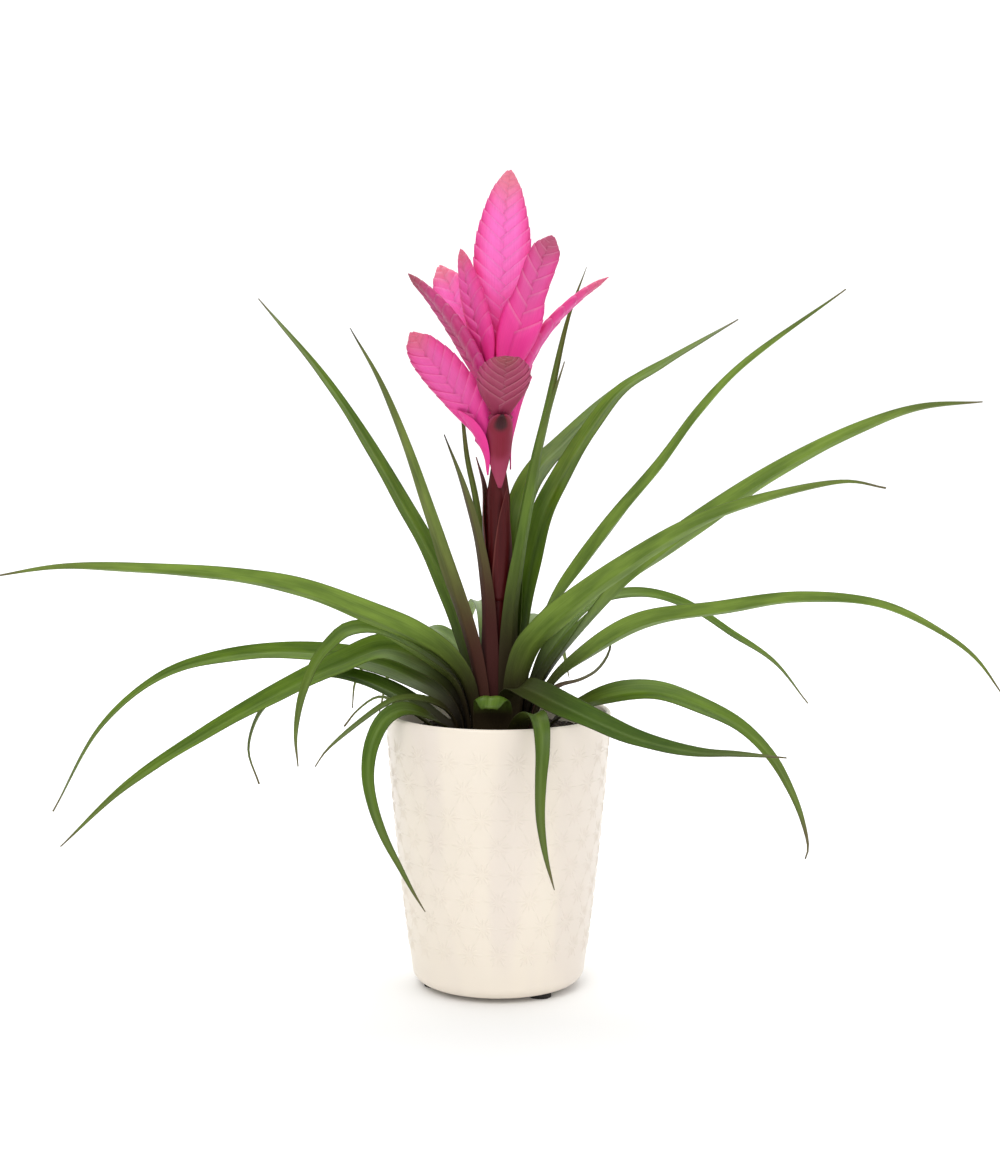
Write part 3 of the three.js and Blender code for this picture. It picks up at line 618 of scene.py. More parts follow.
def linear(hex_colour):
    """An sRGB hex colour as linear red, green and blue."""
    values = (int(hex_colour[i:i + 2], 16) / 255 for i in (1, 3, 5))
    return tuple(v / 12.92 if v <= 0.04045 else ((v + 0.055) / 1.055) ** 2.4 for v in values)


def paint(colour):
    """A hex colour, a colour of the settings or one worked out, as a node takes it."""
    if isinstance(colour, Worked):
        return colour
    return (*(linear(colour) if isinstance(colour, str) else colour), 1.0)


def laid_over(tree, ground, amount, colour):
    """A colour laid over a ground, by an amount of 0 to 1."""
    amount_in, ground_in, colour_in = 0, 6, 7  # a Mix node has a set of inputs for each kind
    return add(tree, "ShaderNodeMix", {
        amount_in: amount, ground_in: paint(ground), colour_in: paint(colour)}, data_type="RGBA")


def ramp(value, low, high):
    """0 below low, 1 above high, smooth between them. low may be the greater one."""
    flip = low > high
    return add(value.socket.id_data, "ShaderNodeMapRange", {
        "Value": value,
        "From Min": min(low, high),
        "From Max": max(low, high),
        "To Min": 1.0 if flip else 0.0,
        "To Max": 0.0 if flip else 1.0,
    }, interpolation_type="SMOOTHSTEP")


def grain(place, lumps, detail=2.0):
    """Noise whose lumps have these lengths along the three axes of a place."""
    tree = place.socket.id_data
    scale = tuple(1 / lump for lump in lumps)
    mapping = add(tree, "ShaderNodeMapping", {"Vector": place, "Scale": scale})
    return add(tree, "ShaderNodeTexNoise", {"Vector": mapping, "Scale": 1.0, "Detail": detail})


def place_mm(tree):
    """The place of a point of the object, in mm."""
    return add(tree, "ShaderNodeTexCoord")["Object"] * (1 / MM)


def own_value(tree, name, output="Fac"):
    """One of the values that a piece keeps on its points."""
    return add(tree, "ShaderNodeAttribute", attribute_name=name, attribute_type="GEOMETRY")[output]


def new_material(name):
    """An empty material and its tree."""
    material = bpy.data.materials.new(name)
    material.use_nodes = True
    material.node_tree.nodes.clear()
    return material, material.node_tree


def surfaced(material, inputs, relief=None, strength=0.0, depth=0.0):
    """Ends a material with its shader, over a relief of a depth in mm."""
    tree = material.node_tree
    if relief:
        inputs["Normal"] = add(tree, "ShaderNodeBump", {
            "Height": relief, "Strength": strength, "Distance": depth * MM})
    shader = add(tree, "ShaderNodeBsdfPrincipled", inputs)
    add(tree, "ShaderNodeOutputMaterial", {"Surface": shader})
    return material


def glazed_stoneware(settings):
    """Slip-cast stoneware under a clear cream glaze: a soft gloss and slow cloudy bands
    where it ran while it melted."""
    material, tree = new_material("cream_glazed_stoneware")
    place = place_mm(tree)
    bands = grain(place, (33.3, 33.3, 278))
    cloud = grain(place, (18.2, 18.2, 18.2))
    colour = laid_over(tree, settings.glaze_colour, ramp(bands, 0.42, 0.62) * 0.45,
                       settings.glaze_shade)
    colour = laid_over(tree, colour, cloud * 0.12, "#E4D2BE")
    # Orange peel of a fired glaze, about 2 mm from dimple to dimple.
    peel = grain(place, (2.083, 2.083, 2.083), 1.0)
    return surfaced(material, {"Base Color": colour, "Roughness": 0.34, "IOR": 1.52},
                    peel, strength=0.06, depth=0.4)


def moulded_rubber():
    """Moulded black rubber: matt, with a fine grain that catches dust."""
    material, tree = new_material("black_rubber_pad")
    pores = grain(place_mm(tree), (0.714, 0.714, 0.714), 3.0)
    colour = laid_over(tree, "#131211", pores, "#2A2826")
    return surfaced(material, {"Base Color": colour, "Roughness": 0.85},
                    pores, strength=0.3, depth=0.3)


def peat_compost():
    """Damp milled peat: dark brown, matt, with paler fibres and crumbs."""
    material, tree = new_material("peat_compost")
    place = place_mm(tree)
    crumbs = grain(place, (2.381, 2.381, 2.381), 4.0)
    fibres = grain(place, (6.25, 1.5625, 6.25), 3.0)
    colour = laid_over(tree, "#17100B", ramp(crumbs, 0.35, 0.7), "#3D2C20")
    colour = laid_over(tree, colour, ramp(fibres, 0.62, 0.75), "#6B503A")
    return surfaced(material, {"Base Color": colour, "Roughness": 0.95},
                    crumbs, strength=0.8, depth=1.0)


def leaf_tissue(name, upper, under, sheath, tip):
    """Living bromeliad leaf: leathery, with fine lengthwise veins, a soft waxy gloss on
    the upper face, a paler matt underside and a brown clasping sheath, darkened as
    painted shade in the heart of the crown."""
    material, tree = new_material(name)
    blade = own_value(tree, "blade_mm", "Vector")
    across = blade.axes()["X"]
    to_tip = blade.axes()["Z"]
    lane = own_value(tree, "lane")
    above = own_value(tree, "above")
    face = laid_over(tree, under, ramp(above, 0.4, 0.6), upper)
    # Painted light: one half of a folded blade is painted a little paler than the other, as the lit
    # half of the fold.
    face = laid_over(tree, face, ramp(lane, -0.25, 0.35) * 0.3, "#7E9A3A")
    # Clouding along the blade, some 6 mm wide and 40 mm long.
    cloud = grain(blade, (6.25, 40, math.inf), 3.0)
    face = laid_over(tree, laid_over(tree, face, 0.5, "#28450E"), ramp(cloud, 0.32, 0.66), face)
    # Veins stand about 0.5 mm apart and are drawn 1 mm apart so that they show.
    veins = grain(blade, (0.909, 151.5, math.inf))
    pale = laid_over(tree, face, 0.5, "#A9BF6A")
    face = laid_over(tree, face, ramp(veins, 0.45, 0.7) * 0.2, pale)
    # Each leaf's own darker tone by its shade value; on the stub at the front it is painted shadow.
    face = laid_over(tree, face, own_value(tree, "shade"), "#2C480F")
    # The line of the keel is painted pale on the upper face as a highlight, and the margins are thin
    # and dark.
    face = laid_over(tree, face, ramp(abs(across), 1.3, 0.25) * above * 0.16, "#93AC62")
    face = laid_over(tree, face, ramp(abs(lane), 0.93, 1.0) * 0.45, "#2C2A17")
    # The dark foot: the sheath's own brown and painted shade in the heart of the crown.
    foot = own_value(tree, "sheath_and_crown_shade")
    face = laid_over(tree, face, foot, sheath)
    # The last reach weathers to a greyish olive before its point dries.
    face = laid_over(tree, face, ramp(to_tip, 100.0, 15.0) * 0.45, "#5F6138")
    face = laid_over(tree, face, ramp(to_tip, 22.0, 3.0) * 0.8, tip)
    dull = (0.55 - above * 0.17).calc("MAXIMUM", foot * 0.8)
    return surfaced(material, {"Base Color": face, "Roughness": dull, "Specular IOR Level": 0.2},
                    veins, strength=0.25, depth=0.4)


def stem_skin(settings):
    """Flower stem and its clasping bracts: smooth maroon skin with lengthwise streaks,
    redder near the top and with pale drying bract margins."""
    material, tree = new_material("maroon_stem_skin")
    place = place_mm(tree)
    streaks = grain(place, (1.4286, 1.4286, 35.71))
    height = place.axes()["Z"]
    maroon = laid_over(tree, settings.stem_dark, streaks, settings.stem_red)
    upper = laid_over(tree, settings.stem_red, streaks, "#74202C")
    colour = laid_over(tree, maroon, ramp(height, 285, 330), upper)
    margin = ramp(abs(own_value(tree, "lane")), 0.8, 1.0) * 0.35
    colour = laid_over(tree, colour, margin, "#9A5A50")
    return surfaced(material, {"Base Color": colour, "Roughness": 0.42, "Specular IOR Level": 0.2},
                    streaks, strength=0.2, depth=0.4)


def bract_tissue(name, body, edge, tip, foot, line, margin, fresh=0.5):
    """Papery coloured bract: satin, faintly veined, glowing where light comes through
    it, with a darker band at each foot, a painted highlight as a pale line along each
    margin and a salmon tip of the spike."""
    material, tree = new_material(name)
    share = own_value(tree, "spike_share")
    maroon_and_shadow = own_value(tree, "maroon_and_shadow")
    colour = laid_over(tree, body, ramp(own_value(tree, "bract_out"), 0.45, 1.0), edge)
    colour = laid_over(tree, colour, ramp(share, 0.72, 0.98), tip)
    colour = laid_over(tree, colour, ramp(share, fresh, 0.6 * fresh - 0.15), foot)
    # Painted highlight: the margin is a thin pale line. The bract under it is in its shade.
    pale = ramp(own_value(tree, "bract_up"), 0.93, 0.99) * margin
    colour = laid_over(tree, colour, pale, line)
    # Painted shade: the inside of a holding bract is maroon. The stalk of a spike and the
    # back of the faded holder are maroon as their own colour, and near black at the mouth
    # is painted shadow.
    colour = laid_over(tree, colour, ramp(maroon_and_shadow, 0.0, 1.0), "#80102A")
    colour = laid_over(tree, colour, ramp(maroon_and_shadow, 1.1, 1.9), "#2B1510")
    # The veins are given in shares of the bract's own width and length.
    veins = grain(own_value(tree, "bract_uv", "Vector"), (1 / 26, 2 / 3, 1))
    deep = laid_over(tree, colour, 0.1, "#B3246E")
    colour = laid_over(tree, colour, ramp(veins, 0.62, 0.35), deep)
    return surfaced(material, {
        "Base Color": colour,
        "Roughness": 0.5,
        "IOR": 1.4,
        "Subsurface Weight": 0.1,
        "Subsurface Radius": (0.004, 0.0015, 0.002),
        "Subsurface Scale": 1.0,
    })


# -------------------------------------------------------------- cover pot ----


def outer_radius(height):
    """Radius of the outside of the pot's side."""
    u = (height - POT["edge_round"]) / (POT["rim"] - POT["lip"] - POT["edge_round"])
    return lerp(POT["base_radius"], POT["rim_radius"], u) + POT["bulge"] * 4 * u * (1 - u)


def inner_radius(height, inset=0.0):
    return outer_radius(height) - POT["wall"] - inset


def arc(x, y, radius, start, stop, steps):
    angles = [math.radians(lerp(start, stop, i / steps)) for i in range(steps + 1)]
    return [(x + radius * math.cos(a), y + radius * math.sin(a)) for a in angles]


def turned(profile, sides):
    """Points and faces of a profile of (radius, height) turned about the axis. Both
    ends of the profile lie on the axis."""
    points = [Vector((0, 0, profile[0][1]))]
    rings = profile[1:-1]
    for radius, height in rings:
        for k in range(sides):
            a = 2 * math.pi * k / sides
            points.append(Vector((radius * math.cos(a), radius * math.sin(a), height)))
    points.append(Vector((0, 0, profile[-1][1])))
    faces = []
    for k in range(sides):
        faces.append((0, 1 + (k + 1) % sides, 1 + k))
        for i in range(len(rings) - 1):
            a = 1 + i * sides + k
            b = 1 + i * sides + (k + 1) % sides
            faces.append((a, b, b + sides, a + sides))
        last = 1 + (len(rings) - 1) * sides
        faces.append((last + k, last + (k + 1) % sides, len(points) - 1))
    return points, faces


def pot_profile():
    edge, lip, floor = POT["edge_round"], POT["lip"], POT["floor"]
    side_top = POT["rim"] - lip
    side = [lerp(edge, side_top, i / SIDE_STEPS) for i in range(SIDE_STEPS + 1)]
    profile = [(0, 0), (FLAT_UNDERSIDE, 0)]
    profile += arc(POT["base_radius"] - edge, edge, edge, -90, -6, 8)
    profile += [(outer_radius(height), height) for height in side]
    profile += arc(POT["rim_radius"] - lip, side_top, lip, 15, 180, 11)
    for depth in (0.25, 0.5, 0.75, 1):
        height = side_top - POT["lip_depth"] * depth
        profile.append((outer_radius(height) - lerp(2 * lip, POT["wall"], depth), height))
    profile += [(inner_radius(height), height) for height in (POT["waist"], floor + POT["corner"])]
    profile += [(inner_radius(floor, POT["corner"]), floor), (0, floor)]
    return profile


def starburst_tree():
    """Geometry tree that embosses rows of starbursts on the side of the pot it is put
    on. Each ray is a low ridge whose foot lies just under the glaze."""
    tree, given = geometry_tree(
        "starburst_relief", counts=("Rows", "Stars per row", "Rays"),
        sizes=("First height", "Row spacing", "Star radius", "Ray width", "Ray height"))
    rays, per_row = given["Rays"], given["Stars per row"]
    # One ray: a ridge of 2 by 4 faces, x along the ray and y across it, both -1 to 1.
    ray = add(tree, "GeometryNodeMeshGrid", {
        "Size X": 2.0, "Size Y": 2.0, "Vertices X": 5, "Vertices Y": 3})
    copies, number = repeated(tree, ray, given["Rows"] * per_row * rays)
    star = (number / rays).calc("FLOOR")
    copies = noted(copies, "INSTANCE", ray_turn=number % rays / rays,
                   star_row=(star / per_row).calc("FLOOR"), star_place=star % per_row)
    relief = add(tree, "GeometryNodeRealizeInstances", {"Geometry": copies})
    own = add(tree, "GeometryNodeInputPosition").axes()
    x, y = own["X"], own["Y"]
    turn, row = recalled(tree, "ray_turn"), recalled(tree, "star_row")
    # A ray starts a little out from the middle and narrows to both its ends. Every other
    # one is shorter.
    hub = STAR["hub"]
    odd = (turn * rays).calc("ROUND") % 2.0
    distance = x * ((1 - hub) / 2) + (1 + hub) / 2
    distance = distance * (given["Star radius"] * (1 - odd * STAR["shorter"]))
    width = y * (1 - abs(x)) ** STAR["taper"] * (given["Ray width"] * 0.5)
    angle = turn * (2 * math.pi)
    cosine, sine = angle.calc("COSINE"), angle.calc("SINE")
    sideways = distance * cosine - width * sine
    height = given["First height"] + row * given["Row spacing"] + (distance * sine + width * cosine)
    # Every other row is shifted by half a star round the pot.
    around = (recalled(tree, "star_place") + row % 2.0 * 0.5) / per_row
    bearing = around * (2 * math.pi) + sideways / (STAR["wrap_radius"] * MM)
    east, north = bearing.calc("COSINE"), bearing.calc("SINE")
    # Each point drops from outside onto the side of the pot.
    outside = STAR["drop_radius"] * MM
    start = add(tree, "ShaderNodeCombineXYZ", {
        "X": east * outside, "Y": north * outside, "Z": height})
    inward = add(tree, "ShaderNodeCombineXYZ", {"X": east * -1.0, "Y": north * -1.0})
    hit = add(tree, "GeometryNodeRaycast", {
        "Target Geometry": given["Geometry"], "Source Position": start, "Ray Direction": inward,
        "Ray Length": outside})
    ridge = (1 - abs(y)) * (1 - abs(x) ** 4.0)
    sunk = STAR["sunk"] * MM - ridge * given["Ray height"]
    place = hit["Hit Position"] + inward * sunk
    relief = add(tree, "GeometryNodeSetPosition", {"Geometry": relief, "Position": place})
    relief = add(tree, "GeometryNodeSetShadeSmooth", {"Geometry": relief})
    return end_tree(tree, together(tree, relief, given["Geometry"]), given["Material"])


def make_pot(settings):
    points, faces = turned(pot_profile(), POT["sides"])
    skin = Skin()
    skin.points = [point + Vector((0, 0, POTTED_LIFT)) for point in points]
    skin.faces = faces
    glaze = glazed_stoneware(settings)
    pot = skin.to_object("cover_pot", glaze)
    grown(pot, starburst_tree(), {
        "Rows": settings.star_rows,
        "Stars per row": settings.stars_per_row,
        "Rays": settings.star_rays,
        "First height": settings.first_star_height,
        "Row spacing": settings.star_row_spacing,
        "Star radius": settings.star_diameter / 2,
        "Ray width": settings.ray_width,
        "Ray height": settings.ray_height,
        "Material": glaze,
    })
    settle(pot, "glaze", "pot")


def dress_feet():
    rubber = moulded_rubber()
    for name in ("foot_1", "foot_2", "foot_3"):
        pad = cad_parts[name]
        pad.data.materials.clear()
        pad.data.materials.append(rubber)


# ------------------------------------------------------------------- soil ----


def soil_profile():
    bottom = POT["floor"] + CLEARANCE
    edge, gap, top = SOIL["edge"], SOIL["gap"], SOIL["top"]
    well_radius, well_edge, well_floor = SOIL["well_radius"], SOIL["well_edge"], SOIL["well_floor"]
    rim = inner_radius(edge, gap)
    middle = (well_radius + rim) / 2
    profile = [(0, bottom), (inner_radius(bottom, POT["corner"] + gap), bottom)]
    profile += [(inner_radius(h, gap), h) for h in (bottom + POT["corner"], POT["waist"])]
    profile += [(rim, edge - 2), (rim, edge)]
    profile += [(lerp(rim, middle, i / 6), lerp(edge, top, i / 6)) for i in range(1, 6)]
    profile += [(lerp(middle, well_radius, i / 6), lerp(top, well_edge, i / 6)) for i in range(7)]
    profile += [(well_radius - 0.2 * i, lerp(well_edge, well_floor, i / 4)) for i in range(1, 5)]
    profile += [(lerp(well_radius - 0.8, 1.5, i / 8), well_floor) for i in range(1, 9)]
    profile.append((0, well_floor))
    return profile


def crumb_tree():
    """Geometry tree that scatters peat crumbs over the upward faces of the soil."""
    tree, given = geometry_tree("peat_crumbs", counts=("Seed",),
                                sizes=("Density", "Smallest", "Largest", "Above"))
    facing = add(tree, "GeometryNodeInputNormal").axes()["Z"]
    height = add(tree, "GeometryNodeInputPosition").axes()["Z"]
    on_top = facing.calc("GREATER_THAN", 0.3) * height.calc("GREATER_THAN", given["Above"])
    spots = add(tree, "GeometryNodeDistributePointsOnFaces", {
        "Mesh": given["Geometry"], "Selection": on_top, "Density": given["Density"],
        "Seed": given["Seed"]}, distribute_method="RANDOM")
    crumb = add(tree, "GeometryNodeMeshIcoSphere", {"Radius": 1.0, "Subdivisions": 1})
    size = add(tree, "FunctionNodeRandomValue", {
        2: given["Smallest"], 3: given["Largest"], "Seed": given["Seed"]}, data_type="FLOAT")
    squash = add(tree, "FunctionNodeRandomValue", {
        0: (0.6, 0.6, 0.35), 1: (1.5, 1.1, 0.8)}, data_type="FLOAT_VECTOR")
    spin = add(tree, "FunctionNodeRandomValue", {
        0: (-0.6, -0.6, 0.0), 1: (0.6, 0.6, 6.28)}, data_type="FLOAT_VECTOR")
    laid = add(tree, "GeometryNodeInstanceOnPoints", {
        "Points": spots, "Instance": crumb, "Rotation": spin, "Scale": squash * size})
    crumbs = add(tree, "GeometryNodeRealizeInstances", {"Geometry": laid})
    return end_tree(tree, together(tree, crumbs, given["Geometry"]), given["Material"])


def make_soil():
    points, faces = turned(soil_profile(), SOIL["sides"])
    skin = Skin()
    for point in points:
        rough = 0.0
        if point.z > SOIL["well_floor"] - 1:
            rough = noise.noise(point * SOIL["clods"]) * SOIL["rough"] - SOIL["settled"]
        skin.points.append(point + Vector((0, 0, POTTED_LIFT + rough)))
    skin.faces = faces
    peat = peat_compost()
    soil = skin.to_object("peat_soil", peat)
    grown(soil, crumb_tree(), {
        "Density": CRUMBS["per_square_metre"],
        "Smallest": CRUMBS["smallest"] * MM,
        "Largest": CRUMBS["largest"] * MM,
        "Above": (SOIL["well_floor"] + POTTED_LIFT - 2) * MM,
        "Seed": CRUMBS["seed"],
        "Material": peat,
    })
    settle(soil, "peat", "soil")


# ----------------------------------------------------------------- leaves ----


def blade_ring(section, width, bend, along, to_tip, rib=LEAF_RIB, edge=LEAF_EDGE, keel=0.0,
               ripple=0.0):
    """One section of a leaf or bract, across its upper face and back under it."""
    place, _run, across, face = section
    upper, lower = [], []
    for lane in LEAF_LANES:
        turn = lane * width / 2 / bend
        normal = face * math.cos(turn) - across * math.sin(turn)
        groove = keel * max(0.0, 1 - abs(lane) / KEEL_WIDTH) ** KEEL_FLARE
        groove -= ripple * lane * abs(lane)
        middle = place + across * (bend * math.sin(turn)) + face * (bend * (1 - math.cos(turn)))
        middle = middle - normal * groove
        half = lerp(rib, edge, abs(lane)) / 2
        values = dict(lane=float(lane), blade_mm=(lane * width / 2, along, to_tip))
        upper.append((middle + normal * half, dict(values, above=1.0)))
        lower.insert(0, (middle - normal * half, dict(values, above=0.0)))
    return upper + lower


def leaf_rings(leaf):
    route = Route(leaf["azimuth"], leaf["route"])
    rolled = leaf.get("rolled", [CHANNEL_FROM, CHANNEL_TO])
    foot_radius = leaf["route"][0][0]
    steps = max(FEWEST_STEPS, round(route.length / LEAF_STEP))
    phase = sum(map(ord, leaf["name"]))
    domed = leaf.get("domed", False)
    rings = []
    for i in range(steps + 1):
        t = i / steps
        along = t * route.length
        share = math.sqrt(1 - BLUNTNESS * t ** 4) if domed else read_smooth(LEAF_OUTLINE, t)
        width = leaf["width"] * share
        opened = smoothstep(t, CHANNEL_FROM, CHANNEL_TO)
        channel = max(width * LEAF_CHANNEL, TIGHTEST_CHANNEL)
        bend = lerp(foot_radius, channel, opened)
        if domed:
            bend = 1 / lerp(1 / foot_radius, -1 / channel, opened)
        turn = leaf.get("roll", 0) * smoothstep(t, *rolled)
        wave = math.sin(phase + along / SHORT_WAVE) * math.sin(phase * 0.7 + along / LONG_WAVE)
        to_tip = route.length - along + leaf.get("dried_short", 0)
        rings.append(blade_ring(route.section(t, turn), width, bend, along, to_tip,
                                keel=KEEL_DEPTH * width * opened,
                                ripple=WAVE_DEPTH * wave * opened * share))
    return rings


def sheath_and_crown_shade(place, leaf):
    """How much of the leaf's colour is that of its sheath at this place, which is its own
    brown and painted shade in the heart of the crown: all of it in the heart of the crown
    and none further out. On the stub it is painted shadow under the dome, by height."""
    if leaf.get("domed"):
        return 1 - smoothstep(place.z, *STUB_SHADOW_REACH)
    reach = leaf.get("sheath", SHEATH_AND_SHADE_REACH[leaf.get("look", GREEN)])
    return 1 - smoothstep((place - CROWN).length, *reach)


def make_leaves(settings):
    looks = {
        GREEN: leaf_tissue("green_leaf", settings.leaf_upper, settings.leaf_under,
                           settings.sheath, settings.leaf_tip),
        OLIVE: leaf_tissue("olive_leaf", "#52601F", "#6F7A3C", "#45261D", "#2F2220"),
        BROWN: leaf_tissue("brown_leaf", "#44302A", "#523A30", "#401B18", "#2A1D1C"),
    }
    for leaf in LEAVES:
        look = leaf.get("look", GREEN)
        skin = Skin()
        skin.loft(leaf_rings(leaf))
        skin.values["shade"] = [leaf.get("shade", 0.0)] * len(skin.points)
        skin.values["sheath_and_crown_shade"] = [sheath_and_crown_shade(place, leaf) for place in skin.points]
        piece = skin.to_object(f"{leaf['name']}_blade", looks[look])
        faces_outward(piece)
        settle(piece, look, leaf["name"])


# ------------------------------------------------------------ flower stem ----


def make_stem(settings):
    skin = Skin()
    foot, neck, top = SCAPE["foot_radius"], SCAPE["neck_radius"], SCAPE["top_radius"]
    profile = [(foot, PLANT_FOOT), (foot, SCAPE["shoulder"] - 4), (foot * 0.98, SCAPE["shoulder"]),
               (neck, SCAPE["neck"]), (top, SCAPE["top"] - 1), (top * 0.85, SCAPE["top"])]
    rings = []
    for radius, height in profile:
        ring = []
        for k in range(SCAPE["sides"]):
            a = 2 * math.pi * (k + 0.5) / SCAPE["sides"]
            place = Vector((radius * math.cos(a), radius * math.sin(a), height + POTTED_LIFT))
            ring.append((place, dict(lane=0.0, blade_mm=(0, 0, 0), above=1.0)))
        rings.append(ring)
    skin.loft(rings)
    for i in range(SCAPE_BRACTS["count"]):
        skin.loft(scape_bract_rings(i))
    stem = skin.to_object("maroon_flower_stem", stem_skin(settings))
    faces_outward(stem)
    settle(stem, "flower_stem", "flower_stem")


def scape_bract_rings(i):
    """The pointed bract i up the stem, which clasps it."""
    b = SCAPE_BRACTS
    foot = b["first"] + i * b["rise"]
    inside = SCAPE["foot_radius"] + b["lift"] + b["stagger"] * (i % 3)
    body = b["lift"] + b["bulge"] * max(0, i - 3)
    tip = b["lean"] + b["flare"] * max(0, i - 4)
    swell = [(0, 0), (0.4, body), (0.75, body + b["lift"]), (1, body + tip)]
    points = [[inside + out, foot + share * b["length"]] for share, out in swell]
    route = Route(b["first_azimuth"] + i * b["turn"], points)
    rings = []
    for k in range(BRACT_STEPS + 1):
        t = k / BRACT_STEPS
        width = b["width"] * read_smooth(SCAPE_BRACT_OUTLINE, t)
        rings.append(blade_ring(route.section(t), width, inside + b["lean"] * t, t * route.length,
                                (1 - t) * route.length, rib=BRACT_RIB, edge=0.3))
    return rings


# ---------------------------------------------------------- flower spikes ----


def read_curve(value, pairs):
    """A value read off a smooth curve through pairs."""
    result = add(value.socket.id_data, "ShaderNodeFloatCurve", {"Value": value})
    mapping = result.socket.node.mapping
    points = mapping.curves[0].points
    for place, height in pairs[1:-1]:
        points.new(place, height)
    for point, pair in zip(points, pairs):
        point.location = pair
    mapping.update()
    return result


def climbed(given, station, up):
    """How far up the spike a point of a bract is, 0 to 1."""
    even = (station + up * given["Overlap"]) / (given["Bracts"] + given["Overlap"] - 1.0)
    # Bracts stand further apart at the foot of the spike than at its tip.
    climb = even + even * (1 - even) * given["Spread"]
    # The last few close up, so that both rows end at the tip.
    short = 1 - climb
    gathered = short - short.calc("MAXIMUM", 0.0) ** 1.5
    return climb + climb ** 3.0 * gathered


def spike_tree(name, outline):
    """Geometry tree that folds bracts in two rows along a route. The object that it is
    put on is the route as a chain of edges with its width direction in `across`."""
    tree, given = geometry_tree(
        name, counts=("Bracts", "Seed"),
        sizes=("Overlap", "Width", "Thickness", "Stalk", "Spread", "Rise", "Tooth", "Step", "Tip"))
    # One flat bract: x runs from margin to margin over the keel, y from foot to tip.
    sheet = add(tree, "GeometryNodeMeshGrid", {
        "Size X": 2.0, "Size Y": 1.0, "Vertices X": 13, "Vertices Y": 6})
    copies, number = repeated(tree, sheet, given["Bracts"])
    chance = add(tree, "FunctionNodeRandomValue", {2: -1.0, 3: 1.0, "Seed": given["Seed"]},
                 data_type="FLOAT")
    copies = noted(copies, "INSTANCE", station=number, chance=chance)
    bracts = add(tree, "GeometryNodeRealizeInstances", {"Geometry": copies})
    station, luck = recalled(tree, "station"), recalled(tree, "chance")
    own = add(tree, "GeometryNodeInputPosition").axes()
    x, up = own["X"], own["Y"] + 0.5
    keelward = 1 - abs(x) * BRACTS["wrap"]
    side = 1 - station % 2.0 * 2.0

    climb = climbed(given, station, up)
    route = add(tree, "GeometryNodeMeshToCurve", {0: given["Geometry"]})
    sample = add(tree, "GeometryNodeSampleCurve", {
        "Curves": route,
        "Value": recalled(tree, "across", "FLOAT_VECTOR"),
        "Factor": given["Stalk"] + climb * (1 - given["Stalk"]),
    }, data_type="FLOAT_VECTOR", mode="FACTOR")
    across, run = sample["Value"], sample["Tangent"]
    face = run.calc("CROSS_PRODUCT", across)

    girth = read_curve(climb, outline)
    rows_down = (1 - up) * (given["Overlap"] * 0.5)
    half = girth * (1 - rows_down * given["Tooth"]) * (given["Width"] * 0.5)
    # The two faces of the last bracts meet at the tip, so the spike has no open end.
    closing = ((1 - climb) * BRACTS["closing"] + BRACTS["tip_depth"]).calc("MINIMUM", 1.0)
    thin = 1 - rows_down * given["Step"]
    deep = (girth * (1 - THIN_END) + THIN_END) * thin * (given["Thickness"] * 0.5) * closing
    inside = keelward.calc("MAXIMUM", 0.0)
    lens = read_curve(inside, BRACT_LENS) * (luck * BRACTS["uneven"] + 1.0)
    point = inside ** 6.0 * (given["Tip"] * up ** 3.0)
    # The last bracts close over the tip, so they don't rise past it.
    lift = given["Rise"] * ((1 - climb) * BRACTS["settling"]).calc("MINIMUM", 1.0)
    place = sample["Position"] + across * (keelward * half * side)
    place = place + run * (keelward * half * lift + point)
    place = place + face * (lens * deep * x.calc("SIGN"))
    flat = add(tree, "ShaderNodeCombineXYZ", {"X": x, "Y": up, "Z": station})
    bracts = noted(bracts, "POINT", spike_share=climb, bract_up=up, bract_out=keelward,
                   bract_uv=flat)
    bracts = add(tree, "GeometryNodeSetPosition", {"Geometry": bracts, "Position": place})
    bracts = add(tree, "GeometryNodeSetShadeSmooth", {"Geometry": bracts})
    return end_tree(tree, bracts, given["Material"])


def route_chain(name, spike):
    """The route of a spike as a chain of edges, in metres, with its width directions."""
    route = Route(spike["azimuth"], spike["route"])
    roll = spike.get("roll", 0)
    sections = [route.section(i / CHAIN_LINKS, roll) for i in range(CHAIN_LINKS + 1)]
    mesh = bpy.data.meshes.new(name)
    mesh.from_pydata([place * MM for place, *_ in sections],
                     [(i, i + 1) for i in range(CHAIN_LINKS)], [])
    layer = mesh.attributes.new("across", "FLOAT_VECTOR", "POINT")
    layer.data.foreach_set("vector", [x for section in sections for x in section[2]])
    return link_object(name, mesh)


def spike_core(spike, material):
    """The flattened stalk that the bracts of a spike stand on."""
    route = Route(spike["azimuth"], spike["route"])
    stalk = spike.get("stalk", 0)
    widths = SPIKE_OUTLINES[spike.get("outline", "full")]
    rings = []
    for i in range(CORE["steps"] + 1):
        t = i / CORE["steps"] * CORE["length"]
        place, _run, across, face = route.section(t, spike.get("roll", 0))
        girth = read_smooth(widths, max(0, (t - stalk) / (1 - stalk)))
        width = spike["width"] * girth * (CORE["foot_width"] if t < 0.1 + stalk else CORE["width"])
        depth = spike["thickness"] * lerp(THIN_END, 1, girth) * CORE["depth"]
        # The stalk below the bracts is maroon, its own colour.
        values = dict(spike_share=t, bract_up=0.9, bract_out=0.3, bract_uv=(0, 0, 0),
                      maroon_and_shadow=1.0 if t < stalk else 0.0)
        rings.append([(place + across * (lane * width / 2) + face * (lift * depth / 2), values)
                      for lane, lift in CORE_SECTION])
    skin = Skin()
    skin.loft(rings)
    return skin.to_object("core", material)


